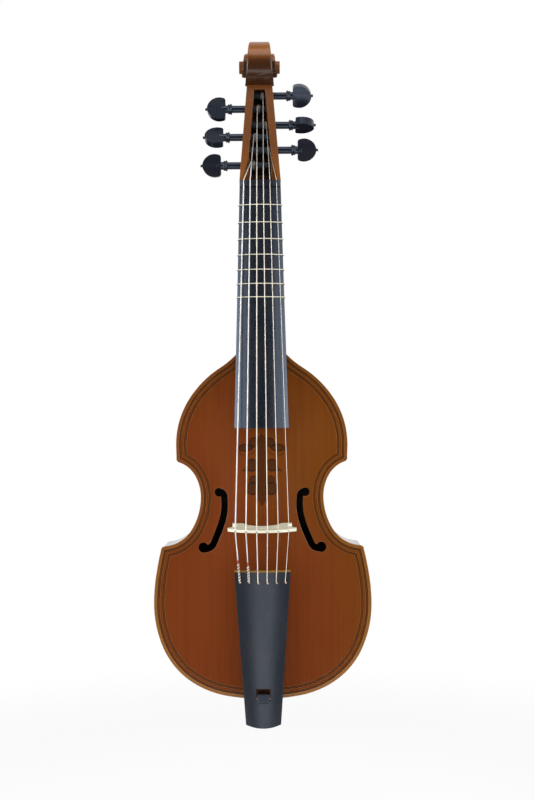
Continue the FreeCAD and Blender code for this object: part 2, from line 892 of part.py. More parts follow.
def string_places(number):
    """How many spacings string 1 to 6 stands from the centre, treble side positive."""
    return 3.5 - number


def on_arc(height, radius, offset):
    """Depth of a string on an arc of strings: lower towards the sides."""
    sag = float(radius) - math.sqrt(float(radius) ** 2 - float(offset) ** 2)
    return -(float(height) - sag)


def pegbox_at(start, end, level):
    return between(start, end, S.nut_level + S.nut_length, S.pegbox_top_level, level)


def peg_axis_depth(level):
    front = pegbox_at(S.pegbox_front_at_nut, S.pegbox_front_at_top, level)
    rear = pegbox_at(S.pegbox_back_at_nut, S.pegbox_back_at_top, level)
    return -(front + rear) / 2


def peg_radius_at(number, x):
    """Shank radius of a peg at a distance x from the centre line."""
    towards_head = x if number <= 3 else -x
    level = numbered("peg_level", number)
    cheek = pegbox_at(S.pegbox_half_at_nut, S.pegbox_half_at_top, level)
    return float(S.peg_radius) - (float(cheek) - towards_head) / float(S.peg_taper) / 2


def string_path(number):
    """Corner points of a string from its peg to its hole in the tailpiece."""
    place = string_places(number)
    width = float(numbered("string_width", number))
    nut_x = place * float(S.nut_string_spacing)
    bridge_x = place * float(S.bridge_string_spacing)
    hole_x = place * float(S.tail_hole_spacing)
    level = numbered("peg_level", number)
    coil = float(numbered("winding_place", number))
    axis = V(coil, float(peg_axis_depth(level)), float(level))
    reach = peg_radius_at(number, coil) + float(S.winding_gap) + width * 1.5 + 0.15
    nut_top = V(nut_x, on_arc(S.nut_string_height, S.nut_string_radius, nut_x) + 0.4,
                float(S.nut_level + S.nut_length))
    run = V(0, axis.y - nut_top.y, axis.z - nut_top.z)
    lean = math.atan2(run.y, run.z) - math.asin(reach / run.Length)
    contact = V(coil, axis.y - reach * math.cos(lean), axis.z + reach * math.sin(lean))
    nut_low = V(nut_x, on_arc(S.nut_string_height, S.nut_string_radius, nut_x),
                float(S.nut_level))
    bridge = V(bridge_x, on_arc(S.bridge_string_height, S.bridge_string_radius, bridge_x), 0)
    saddle_level = float(S.tail_top_level)
    saddle = V(between(bridge_x, hole_x, 0, float(S.tail_hole_level), saddle_level),
               tail_front(saddle_level, hole_x) - width * 0.2, saddle_level)
    hole_top = V(hole_x, tail_front(float(S.tail_hole_level), hole_x) - width * 0.4,
                 float(S.tail_hole_level))
    hole_end = hole_top + V(0, float(S.tail_thickness) * 0.75, 0)
    return [contact, nut_top, nut_low, bridge, saddle, hole_top, hole_end]


def tail_front(level, x):
    """Depth of the tailpiece's arched front face at a level."""
    crown = between(S.tail_top_front, S.tail_end_front, S.tail_top_level, S.tail_end_level, level)
    half = between(S.tail_top_half, S.tail_end_half, S.tail_top_level, S.tail_end_level, level)
    sag = float(S.tail_sag)
    radius = (float(half) ** 2 + sag ** 2) / (2 * sag)
    return -(float(crown) - radius + math.sqrt(radius ** 2 - float(x) ** 2))


def tube(points, radius):
    """A round solid along straight runs, mitred where they meet."""
    circle = Part.Circle(points[0], points[1] - points[0], radius)
    mitred = 1
    return Part.makePolygon(points).makePipeShell(
        [Part.Wire(circle.toShape())], True, False, mitred)


strings = []
string_grooves = []
for number in range(1, 7):
    width = float(numbered("string_width", number))
    path = string_path(number)
    strings.append(shaped(f"string_{number}", tube(path, width / 2)))
    string_grooves.append(shaped(
        f"string_{number}_groove", tube(path[:6], width / 2 + float(S.groove_clearance))))

# Fingerboard
board_wedge_level = S.body_top_level


def board_at(start, end, level):
    return between(start, end, S.nut_level, S.board_end_level, level)


def neck_glue(level):
    return between(S.neck_glue_at_nut, S.neck_glue_at_body, S.nut_level, S.body_top_level, level)


def board_half(level):
    return board_at(S.nut_half, S.board_end_half, level)


def board_section(body, name, level, underside):
    crown = board_at(S.board_surface_at_nut, S.board_surface_at_end, level)
    sag = board_at(S.board_sag_at_nut, S.board_sag_at_end, level)
    return arched(body, name, level, board_half(level), -underside, -(crown - sag), -crown)


fingerboard = new_body("fingerboard")
end_underside = S.board_surface_at_end - S.board_end_thickness
board_sections = [
    board_section(fingerboard, "board_nut_section", S.nut_level, neck_glue(S.nut_level)),
    board_section(fingerboard, "board_root_section", S.body_top_level,
                  neck_glue(S.body_top_level)),
    board_section(fingerboard, "board_end_section", S.board_end_level, end_underside)]
loft(fingerboard, "board_upper_loft", board_sections[:2])
loft(fingerboard, "board_lower_loft", board_sections[1:])

# Nut
nut_blank = new_body("nut_blank")
nut_top = S.nut_level + S.nut_length
nut_crown = S.nut_string_height
nut_sections = [
    arched(nut_blank, f"nut_section_{number}", level, S.nut_half, -neck_glue(level),
           -(nut_crown - S.board_sag_at_nut), -nut_crown)
    for number, level in enumerate((S.nut_level, nut_top), start=1)]
loft(nut_blank, "nut_loft", nut_sections)
nut = cut("nut", nut_blank, *string_grooves)

# Neck and heel
neck = new_body("neck")


def neck_section(name, level, half, depth_to_back):
    glue = neck_glue(level)
    side = glue - S.neck_side
    return arched(neck, name, level, half, -glue, -side, -depth_to_back)


neck_sections = [
    neck_section("neck_nut_section", nut_top, S.nut_half, S.neck_back_at_nut),
    neck_section("neck_heel_section", S.heel_level, board_half(S.heel_level),
                 S.neck_back_at_heel)]
loft(neck, "neck_loft", neck_sections)
heel_back = fold_rate * (S.body_top_level - S.fold_level)
heel_drop = S.neck_back_at_heel - heel_back
heel_run = S.heel_level - S.body_top_level
heel_sections = [neck_sections[1]]
for share, drop in ((0.35, 0.08), (0.65, 0.27), (0.86, 0.55), (1.0, 1.0)):
    level = S.heel_level - heel_run * share
    half = between(board_half(S.heel_level), S.root_half, S.heel_level, S.body_top_level, level)
    rear = S.neck_back_at_heel - heel_drop * drop
    side = neck_glue(level) - S.neck_side - heel_drop * drop * 0.5
    heel_sections.append(arched(neck, f"heel_section_{int(share * 100)}", level, half,
                                -neck_glue(level), -side, -rear))
loft(neck, "heel_loft", heel_sections)

# Frets: loops of gut tied round the neck and the fingerboard
FRETS = 7


def fret_level(number):
    """Equal temperament: each fret shortens the string by a twelfth root of two."""
    return float(S.nut_level) * 2 ** (-number / 12)


def fret_loop(level):
    """The middle line of the gut round the neck at one level."""
    half = float(between(S.nut_half, board_half(S.heel_level), nut_top, S.heel_level, level))
    crown = float(board_at(S.board_surface_at_nut, S.board_surface_at_end, level))
    sag = float(board_at(S.board_sag_at_nut, S.board_sag_at_end, level))
    rear = float(between(S.neck_back_at_nut, S.neck_back_at_heel, nut_top, S.heel_level, level))
    side = float(neck_glue(level)) - float(S.neck_side)
    stand = float(S.fret_width) / 2 + float(S.fret_gap)
    slack = float(S.fret_back_gap - S.fret_gap)
    front_edge = -(crown - sag)
    rear_edge = -side + slack
    front = Part.Arc(V(-half, front_edge, level), V(0, -crown, level), V(half, front_edge, level))
    treble = Part.LineSegment(V(half, front_edge, level), V(half, rear_edge, level))
    rear_arc = Part.Arc(V(half, rear_edge, level), V(0, -rear + slack, level), V(-half, rear_edge, level))
    bass = Part.LineSegment(V(-half, rear_edge, level), V(-half, front_edge, level))
    wire = Part.Wire([edge.toShape() for edge in (front, treble, rear_arc, bass)])
    return wire.makeOffset2D(stand, join=0)


def fret(number):
    level = fret_level(number)
    loop = fret_loop(level)
    start = loop.Edges[0]
    point = start.valueAt(start.FirstParameter)
    direction = start.tangentAt(start.FirstParameter)
    circle = Part.Wire(Part.Circle(point, direction, float(S.fret_width) / 2).toShape())
    return loop.makePipeShell([circle], True, True)


frets = [shaped(f"fret_{number}", fret(number)) for number in range(1, FRETS + 1)]

# Pegbox
pegbox_blank = new_body("pegbox_blank")
pegbox_sections = [
    box_section(pegbox_blank, "pegbox_nut_section", nut_top, S.pegbox_half_at_nut,
                -S.pegbox_front_at_nut, -S.pegbox_back_at_nut),
    box_section(pegbox_blank, "pegbox_top_section", S.pegbox_top_level, S.pegbox_half_at_top,
                -S.pegbox_front_at_top, -S.pegbox_back_at_top)]
loft(pegbox_blank, "pegbox_loft", pegbox_sections)


def cavity_section(name, level, half):
    rear = pegbox_at(S.pegbox_back_at_nut, S.pegbox_back_at_top, level) + S.cavity_floor
    front = pegbox_at(S.pegbox_front_at_nut, S.pegbox_front_at_top, level) + 3
    return box_section(pegbox_blank, name, level, half, -front, -rear)


cavity_sections = [
    cavity_section("cavity_low_section", S.cavity_low, S.cavity_half_low),
    cavity_section("cavity_bend_section", S.cavity_bend, S.cavity_half_bend),
    cavity_section("cavity_high_section", S.cavity_high, S.cavity_half_high)]
loft(pegbox_blank, "cavity_loft", cavity_sections, cut=True)
scoop_sketch = new_sketch(pegbox_blank, "scoop_sketch", "XZ_Plane",
                          S.pegbox_front_at_nut - S.scoop_depth)
scoop_low = nut_top - 1
draw(scoop_sketch, [
    (-S.scoop_half, scoop_low), (S.scoop_half, scoop_low),
    (S.cavity_half_bend, nut_top + S.scoop_run), (-S.cavity_half_bend, nut_top + S.scoop_run)])
pad(pegbox_blank, "scoop_pocket", scoop_sketch, 30, cut=True, reverse=True)


# Pegs

def peg_side(number):
    return 1 if number <= 3 else -1


def peg_cheek(number):
    level = numbered("peg_level", number)
    return pegbox_at(S.pegbox_half_at_nut, S.pegbox_half_at_top, level)


def peg_place(part, number, angle):
    """Puts a peg, modelled along +X, in its hole and turns it to its angle."""
    level = numbered("peg_level", number)
    turned = FreeCAD.Rotation(V(0, 0, 1), 0 if peg_side(number) > 0 else 180)
    spin = FreeCAD.Rotation(V(1, 0, 0), float(angle))
    part.Placement = FreeCAD.Placement(V(), turned.multiply(spin))
    bind(part, "Placement.Base.y", peg_axis_depth(level))
    bind(part, "Placement.Base.z", level)


def peg(number):
    body = new_body(f"peg_{number}")
    cheek = peg_cheek(number)
    thin = S.peg_radius - cheek * 2 / S.peg_taper / 2
    head = cheek + S.peg_reach
    collar = head - S.peg_collar_gap - S.peg_collar_width
    collar_middle = collar + S.peg_collar_width / 2
    neck_radius = S.peg_radius + 0.3
    profile = new_sketch(body, f"peg_{number}_profile", "XY_Plane")
    draw(profile, [
        (-cheek, 0), (head + 4, 0), (head + 4, neck_radius), (collar + S.peg_collar_width, neck_radius),
        (collar_middle, neck_radius, collar_middle + S.peg_collar_width / 4, S.peg_collar_radius - 0.4),
        (collar, S.peg_radius, collar + S.peg_collar_width / 4, S.peg_collar_radius),
        (cheek, S.peg_radius), (-cheek, thin)])
    turned = body.newObject("PartDesign::Revolution", f"peg_{number}_turning")
    turned.Profile = profile
    turned.ReferenceAxis = (profile, ["H_Axis"])
    turned.Angle = 360
    shape = new_sketch(body, f"peg_{number}_head_sketch", "XZ_Plane")
    round_off = S.peg_head_round
    shoulder = S.peg_head_half - round_off
    tip = head + S.peg_head_length
    bulge = head + S.peg_head_length * 0.79
    bulge_half = S.peg_head_half * 0.74
    draw(shape, [
        (head, shoulder),
        (head + round_off, S.peg_head_half, head + round_off * 0.3, S.peg_head_half - round_off * 0.3),
        (tip, 0, bulge, bulge_half),
        (head + round_off, -S.peg_head_half, bulge, -bulge_half),
        (head, -shoulder, head + round_off * 0.3, -(S.peg_head_half - round_off * 0.3))])
    pad(body, f"peg_{number}_head", shape, S.peg_head_thickness, both_ways=True)
    pip = new_sketch(body, f"peg_{number}_pip_sketch", "YZ_Plane", tip - 1)
    draw_circle(pip, 0, 0, S.peg_pip_radius)
    pad(body, f"peg_{number}_pip", pip, S.peg_pip_length + 1)
    peg_place(body, number, numbered("peg_angle", number))
    return body


def peg_hole(number):
    """The tapered hole through both cheeks, wider than the shank by its clearance."""
    cheek = peg_cheek(number)
    run = cheek * 2 + 8
    spread = 4 / S.peg_taper / 2
    hole = doc.addObject("Part::Cone", f"peg_{number}_hole")
    bind(hole, "Radius1", S.peg_radius - cheek * 2 / S.peg_taper / 2 + S.peg_clearance - spread)
    bind(hole, "Radius2", S.peg_radius + S.peg_clearance + spread)
    bind(hole, "Height", run)
    level = numbered("peg_level", number)
    side = peg_side(number)
    hole.Placement = FreeCAD.Placement(V(), FreeCAD.Rotation(V(0, 0, 1), V(side, 0, 0)))
    bind(hole, "Placement.Base.x", -(cheek + 4) * side)
    bind(hole, "Placement.Base.y", peg_axis_depth(level))
    bind(hole, "Placement.Base.z", level)
    return hole


def winding(number):
    """The string's turns on its peg, as one sleeve."""
    width = numbered("string_width", number)
    level = numbered("peg_level", number)
    length = width * S.winding_turns
    side = peg_side(number)
    coil = numbered("winding_place", number)
    inner = peg_radius_at(number, float(coil) + side * float(width) / 2)
    shells = []
    for name, radius in (("outside", Size(inner, f"({inner})") + S.winding_gap + width),
                         ("inside", Size(inner, f"({inner})") + S.winding_gap)):
        shell = doc.addObject("Part::Cylinder", f"winding_{number}_{name}")
        shell.Placement = FreeCAD.Placement(V(), FreeCAD.Rotation(V(0, 0, 1), V(1, 0, 0)))
        bind(shell, "Radius", radius)
        bind(shell, "Height", length)
        inward = length - width / 2 if side > 0 else width / 2
        bind(shell, "Placement.Base.x", coil - inward)
        bind(shell, "Placement.Base.y", peg_axis_depth(level))
        bind(shell, "Placement.Base.z", level)
        shells.append(shell)
    return cut(f"winding_{number}", *shells)


pegs = [peg(number) for number in range(1, 7)]
windings = [winding(number) for number in range(1, 7)]
pegbox = cut("pegbox", pegbox_blank, *[peg_hole(number) for number in range(1, 7)])


# Scroll: a rim that carries on from the pegbox, a narrower turn inside it and the eye

def spiral_point(degrees):
    """A point of the volute; degrees count up from the back, over the crest to the front."""
    turned = math.radians(degrees)
    radius = float(S.scroll_radius) * math.exp(
        -float(S.scroll_tightening) * max(turned - math.pi / 2, 0))
    return V(0, float(S.scroll_place) + radius * math.cos(turned),
             float(S.scroll_level) + radius * math.sin(turned))


def spiral_edge(start, end):
    curve = Part.BSplineCurve()
    count = int((end - start) / 15)
    curve.interpolate([spiral_point(start + (end - start) * i / count)
                       for i in range(count + 1)])
    return curve.toShape()


def both_sides(wire, half):
    face = Part.Face(wire)
    face.translate(V(-half, 0, 0))
    return face.extrude(V(2 * half, 0, 0))


def scroll_shape():
    top = float(S.pegbox_top_level)
    rear = V(0, -float(S.pegbox_back_at_top), top)
    front = V(0, -float(S.pegbox_front_at_top), top)
    rim = Part.Wire([
        Part.LineSegment(rear, spiral_point(-40)).toShape(),
        spiral_edge(-40, 270),
        Part.LineSegment(spiral_point(270), front).toShape(),
        Part.LineSegment(front, rear).toShape()])
    turn = Part.Wire([
        spiral_edge(360, 720),
        Part.LineSegment(spiral_point(720), spiral_point(360)).toShape()])
    crest = float(S.scroll_level + S.scroll_radius)
    taper = Part.Face(Part.makePolygon([
        V(-float(S.scroll_crest_half), 0, crest), V(float(S.scroll_crest_half), 0, crest),
        V(float(S.scroll_chin_half), 0, top), V(-float(S.scroll_chin_half), 0, top),
        V(-float(S.scroll_crest_half), 0, crest)]))
    taper.translate(V(0, float(S.scroll_place) - crest + top, 0))
    rim_solid = both_sides(rim, float(S.scroll_eye_half)).common(
        taper.extrude(V(0, 2 * (crest - top), 0)))
    centre = V(-float(S.scroll_eye_half), float(S.scroll_place), float(S.scroll_level))
    eye = Part.makeCylinder(float(S.scroll_eye_radius), 2 * float(S.scroll_eye_half),
                            centre, V(1, 0, 0))
    return rim_solid.fuse([both_sides(turn, float(S.scroll_turn_half)), eye])


scroll = shaped("scroll", scroll_shape())

# Bridge: cut from one flat blank, thinner at the top, feet fitted to the belly
bridge_blank = new_body("bridge_blank")
bridge_sketch = new_sketch(bridge_blank, "bridge_sketch", "XY_Plane", -S.bridge_tail_face)
foot_y = -(belly_edge_face + S.arch_height / 2)
top_y = -S.bridge_string_height
wing_y = top_y + S.bridge_wing_drop
wing_low = wing_y + S.bridge_wing_thickness
foot_top = foot_y - S.bridge_ankle_rise * 0.6
ankle = S.bridge_foot_outer - S.bridge_ankle_inset
ankle_y = foot_y - S.bridge_ankle_rise
ankle_middle = (S.bridge_foot_outer - S.bridge_ankle_inset * 0.7, foot_y - S.bridge_ankle_rise * 0.77)
hip_middle = (ankle + S.bridge_ankle_inset * 0.5, ankle_y - (S.bridge_wing_thickness + 2))
arch_start = foot_y - S.bridge_ankle_rise / 2
draw(bridge_sketch, [
    (S.bridge_foot_inner, foot_y), (S.bridge_foot_outer, foot_y),
    (S.bridge_foot_outer, foot_top), (ankle, ankle_y, *ankle_middle),
    (S.bridge_wing_half, wing_low, *hip_middle),
    (S.bridge_wing_half, wing_y), (-S.bridge_wing_half, wing_y, 0, top_y),
    (-S.bridge_wing_half, wing_low),
    (-ankle, ankle_y, -hip_middle[0], hip_middle[1]),
    (-S.bridge_foot_outer, foot_top, -ankle_middle[0], ankle_middle[1]),
    (-S.bridge_foot_outer, foot_y), (-S.bridge_foot_inner, foot_y),
    (-S.bridge_foot_inner, arch_start),
    (S.bridge_foot_inner, arch_start, 0, foot_y - S.bridge_arch_rise)])
pad(bridge_blank, "bridge_pad", bridge_sketch, S.bridge_foot_depth)
window_sketch = new_sketch(bridge_blank, "bridge_window_sketch", "XY_Plane", -S.bridge_tail_face)
draw_circle(window_sketch, 0, top_y + S.bridge_heart_drop, S.bridge_heart_radius)
for sign in (-1, 1):
    draw_circle(window_sketch, sign * S.bridge_eye_place, top_y + S.bridge_eye_drop,
                S.bridge_eye_radius)
pad(bridge_blank, "bridge_windows", window_sketch, S.bridge_foot_depth * 2, cut=True, reverse=True)
taper_sketch = new_sketch(bridge_blank, "bridge_taper_sketch", "YZ_Plane")
bridge_front = S.bridge_foot_depth - S.bridge_tail_face
draw(taper_sketch, [
    (foot_y - 8, bridge_front), (foot_y - 8, bridge_front + 5), (top_y - 5, bridge_front + 5),
    (top_y - 5, S.bridge_top_depth - S.bridge_tail_face),
    (wing_low, S.bridge_wing_depth - S.bridge_tail_face)])
pad(bridge_blank, "bridge_taper", taper_sketch, S.bridge_wing_half * 4, both_ways=True, cut=True)
bridge = cut("bridge", bridge_blank, behind_belly, *string_grooves)

# Tailpiece and its saddle
tail_blank = new_body("tail_blank")
tail_low_top = S.tail_top_level - S.tail_saddle_length


def tail_at(start, end, level):
    return between(start, end, S.tail_top_level, S.tail_end_level, level)


def tail_section(body, name, level):
    crown = tail_at(S.tail_top_front, S.tail_end_front, level)
    half = tail_at(S.tail_top_half, S.tail_end_half, level)
    return arched(body, name, level, half, -(crown - S.tail_thickness),
                  -(crown - S.tail_sag), -crown)


loft(tail_blank, "tail_loft", [
    tail_section(tail_blank, "tail_top_section", tail_low_top),
    tail_section(tail_blank, "tail_end_section", S.tail_end_level)])
tail_end_arc = new_sketch(tail_blank, "tail_end_sketch", "XZ_Plane")
corner = S.tail_end_half + 4
draw(tail_end_arc, [
    (-corner, S.tail_end_level - 4), (corner, S.tail_end_level - 4),
    (corner, S.tail_end_level + S.tail_end_curve),
    (S.tail_end_half + 0.8, S.tail_end_level + S.tail_end_curve),
    (-(S.tail_end_half + 0.8), S.tail_end_level + S.tail_end_curve, 0, S.tail_end_level),
    (-corner, S.tail_end_level + S.tail_end_curve)])
pad(tail_blank, "tail_end_pocket", tail_end_arc, S.tail_top_front * 2, cut=True, reverse=True)
slot_sketch = new_sketch(tail_blank, "tail_slot_sketch", "XZ_Plane")
draw(slot_sketch, [
    (-S.slot_half, S.hook_low), (S.slot_half, S.hook_low), (S.slot_half, S.slot_high),
    (-S.slot_half, S.slot_high)])
pad(tail_blank, "tail_slot", slot_sketch, S.tail_top_front * 2, cut=True, reverse=True)
holes_sketch = new_sketch(tail_blank, "tail_holes_sketch", "XZ_Plane")
for number in range(1, 7):
    draw_circle(holes_sketch, S.tail_hole_spacing * string_places(number), S.tail_hole_level,
                S.tail_hole_radius)
pad(tail_blank, "tail_holes", holes_sketch, S.tail_top_front * 2, cut=True, reverse=True)
tailpiece = cut("tailpiece", tail_blank, *string_grooves)
saddle_blank = new_body("saddle_blank")
loft(saddle_blank, "saddle_loft", [
    tail_section(saddle_blank, "saddle_top_section", S.tail_top_level),
    tail_section(saddle_blank, "saddle_low_section", tail_low_top)])
tailpiece_saddle = cut("tailpiece_saddle", saddle_blank, *string_grooves)

# Hook bar: let into the bottom of the body, with a lip that keeps the tailpiece on
tail_hook = new_body("tail_hook")
hook_sketch = new_sketch(tail_hook, "hook_sketch", "YZ_Plane")
tail_front_at_hook = tail_at(S.tail_top_front, S.tail_end_front, S.hook_low)
lip_face = tail_front_at_hook + S.hook_lip / 10
draw(hook_sketch, [
    (-S.hook_foot, S.hook_high), (-S.hook_foot, S.hook_low), (-lip_face, S.hook_low),
    (-lip_face, S.hook_low - S.hook_lip), (-S.hook_tip, S.hook_low - S.hook_lip),
    (-S.hook_tip, S.hook_high + S.hook_lip / 2), (-lip_face, S.hook_high)])
pad(tail_hook, "hook_pad", hook_sketch, S.hook_half * 2, both_ways=True)

NODES = [
    back, belly, top_block, bottom_block, corner_blocks, *ribs, belly_linings, back_linings,
    purfling_dark, purfling_light, bass_bar, soundpost, soundpost_plate, back_bars, neck,
    fingerboard, nut, pegbox, scroll, bridge, tailpiece, tailpiece_saddle, tail_hook,
    *frets, *strings, *windings, *pegs]

doc.recompute()
for thing in doc.Objects:
    if {"Invalid", "Error"} & set(thing.State):
        raise RuntimeError(f"{thing.Label} failed: {thing.State}")
for node in NODES:
    if node.Shape.isNull() or not node.Shape.isValid():
        raise RuntimeError(f"{node.Label} has no valid shape")
for node in NODES:
    node.Shape.exportStep(f"parts/{node.Label}.step")
print(f"{len(NODES)} nodes written")
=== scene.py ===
# %% [markdown]
# A treble viol, dressed in Blender. The CAD model gives every solid piece at its real size, in
# metres, with +Z up along the neck and the belly facing -Y. This lesson gives each piece its
# finish and adds what a solid model leaves out: the carved volute, the turns of string on the
# pegs, the knots, the silk and the inked ornament. First the packed model is loaded.

# %% Load the packed model
import json
import math

import bmesh
import bpy
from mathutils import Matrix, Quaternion, Vector


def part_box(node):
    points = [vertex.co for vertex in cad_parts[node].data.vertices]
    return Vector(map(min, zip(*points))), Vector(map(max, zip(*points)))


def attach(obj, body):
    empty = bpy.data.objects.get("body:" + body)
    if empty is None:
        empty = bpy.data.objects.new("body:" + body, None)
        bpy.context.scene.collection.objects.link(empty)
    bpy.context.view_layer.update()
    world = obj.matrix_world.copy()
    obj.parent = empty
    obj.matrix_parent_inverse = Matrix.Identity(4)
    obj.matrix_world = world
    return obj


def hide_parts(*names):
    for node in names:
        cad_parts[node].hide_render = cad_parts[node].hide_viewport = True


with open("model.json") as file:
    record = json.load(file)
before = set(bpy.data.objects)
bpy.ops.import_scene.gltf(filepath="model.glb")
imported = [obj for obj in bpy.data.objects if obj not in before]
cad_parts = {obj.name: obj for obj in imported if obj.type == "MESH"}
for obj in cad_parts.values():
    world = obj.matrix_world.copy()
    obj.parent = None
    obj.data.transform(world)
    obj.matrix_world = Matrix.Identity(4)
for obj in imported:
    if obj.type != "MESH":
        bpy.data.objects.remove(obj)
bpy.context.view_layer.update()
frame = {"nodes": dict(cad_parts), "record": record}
nodes = frame["nodes"]
MM = 0.001

# %% [markdown]
# The camera stands 1.1 m in front of the belly, a little to the right of the middle, and looks
# straight back. It comes first, because it decides which details are seen. A lens near 49 mm
# takes in 0.81 m of height at the belly's edge.

# %% Place the camera
CAMERA_PLACE = (0.0056, -1.152, 0.1267)
CAMERA_ROLL = -0.38
LENS = 48.77
bpy.ops.object.camera_add(location=CAMERA_PLACE, rotation=(math.radians(90), 0, 0))
camera = bpy.context.object
camera.name = "camera"
camera.rotation_euler.rotate_axis("Z", math.radians(CAMERA_ROLL))
camera.data.sensor_width = 36
camera.data.lens = LENS
camera.data.clip_start = 0.01
bpy.context.scene.camera = camera
print("camera at", tuple(round(value, 3) for value in camera.location))

# %% [markdown]
# Soft light from large panels keeps colours near what the materials say. A studio's backdrop
# is white behind the object and the room in front is dimmer, and varnish shows both. The world
# is painted by direction in that way, and only what the eye and the gloss see is full white.

# %% Light the studio
WORLD_LIGHT = 0.3
ROOM_GLOSS = 0.05
BODY_MIDDLE = (0, 0, 0.12)
PANELS = [("left_panel", (-0.95, -0.75, 0.2), BODY_MIDDLE, 0.8, 1.5, 12),
          ("right_panel", (0.95, -0.75, 0.2), BODY_MIDDLE, 0.8, 1.5, 11),
          ("left_edge", (-1.2, -0.45, 0.2), BODY_MIDDLE, 0.35, 1.5, 12),
          ("right_edge", (1.2, -0.45, 0.2), BODY_MIDDLE, 0.35, 1.5, 9),
          ("low_panel", (0.02, -0.95, -0.70), (0, 0, -0.1), 0.55, 0.7, 3.0),
          ("top_panel", (0.2, -0.7, 1.5), (0, 0, 0.2), 1.2, 0.8, 9)]


def make_world():
    world = bpy.data.worlds.new("studio")
    world.use_nodes = True
    tree = world.node_tree
    tree.nodes.clear()
    add = tree.nodes.new
    link = tree.links.new
    path = add("ShaderNodeLightPath")
    place = add("ShaderNodeTexCoord")
    split = add("ShaderNodeSeparateXYZ")
    link(place.outputs["Generated"], split.inputs[0])
    behind = add("ShaderNodeMapRange")
    behind.inputs["From Min"].default_value = -0.2
    behind.inputs["From Max"].default_value = 0.3
    behind.inputs["To Min"].default_value = ROOM_GLOSS
    behind.inputs["To Max"].default_value = 1.0
    link(split.outputs["Y"], behind.inputs["Value"])
    seen = add("ShaderNodeMath")
    seen.operation = "MAXIMUM"
    link(path.outputs["Is Glossy Ray"], seen.inputs[0])
    link(path.outputs["Is Transmission Ray"], seen.inputs[1])
    gloss = add("ShaderNodeMix")
    gloss.inputs[2].default_value = WORLD_LIGHT
    link(seen.outputs[0], gloss.inputs[0])
    link(behind.outputs[0], gloss.inputs[3])
    eye = add("ShaderNodeMix")
    eye.inputs[3].default_value = 1.0
    link(path.outputs["Is Camera Ray"], eye.inputs[0])
    link(gloss.outputs[0], eye.inputs[2])
    light = add("ShaderNodeBackground")
    light.inputs["Color"].default_value = (1, 1, 1, 1)
    link(eye.outputs[0], light.inputs["Strength"])
    link(light.outputs[0], add("ShaderNodeOutputWorld").inputs[0])
    bpy.context.scene.world = world


def panel(name, place, aim, width, height, watts):
    bpy.ops.object.light_add(type="AREA", location=place)
    lamp = bpy.context.object
    lamp.name = name
    lamp.data.shape = "RECTANGLE"
    lamp.data.size = width
    lamp.data.size_y = height
    lamp.data.energy = watts
    lamp.rotation_euler = (Vector(aim) - Vector(place)).to_track_quat("-Z", "Y").to_euler()


make_world()
for lamp_settings in PANELS:
    panel(*lamp_settings)
bpy.context.scene.view_settings.view_transform = "Standard"
print(len(PANELS), "panels of", sum(lamp_settings[-1] for lamp_settings in PANELS), "watts")

# %% [markdown]
# Materials are written as sums. A small class stands for one socket, and arithmetic on it adds
# Math nodes, so a pattern reads like a formula. Every other node comes from one method.

# %% Write shader sums as Python


class Wire:
    def __init__(self, finish, socket):
        self.finish = finish
        self.socket = socket

    def math(self, operation, *values):
        return self.finish.node("ShaderNodeMath", {"operation": operation}, dict(enumerate(values)))

    def __add__(self, other):
        return self.math("ADD", self, other)

    def __sub__(self, other):
        return self.math("SUBTRACT", self, other)

    def __rsub__(self, other):
        return self.math("SUBTRACT", other, self)

    def __mul__(self, other):
        return self.math("MULTIPLY", self, other)

    def __truediv__(self, other):
        return self.math("DIVIDE", self, other)

    def __pow__(self, other):
        return self.math("POWER", self, other)

    __radd__ = __add__
    __rmul__ = __mul__

    def size(self):
        return self.math("ABSOLUTE", self)

    def sine(self):
        return self.math("SINE", self)

    def least(self, other):
        return self.math("MINIMUM", self, other)

    def most(self, other):
        return self.math("MAXIMUM", self, other)

    def ramp(self, start, end, low=0.0, high=1.0, smooth=True):
        settings = {"interpolation_type": "SMOOTHSTEP" if smooth else "LINEAR"}
        values = {"Value": self, "From Min": start, "From Max": end, "To Min": low, "To Max": high}
        return self.finish.node("ShaderNodeMapRange", settings, values)


print("a wire knows", ", ".join(name for name in vars(Wire) if not name.startswith("_")))

# %% [markdown]
# A finish is one material with one Principled shader. It reads the point's place on the piece,
# adds noise and colour blends, and sets the sockets. A pattern that is made from the place stays
# fixed to the wood when the piece moves.

# %% Set up a finish


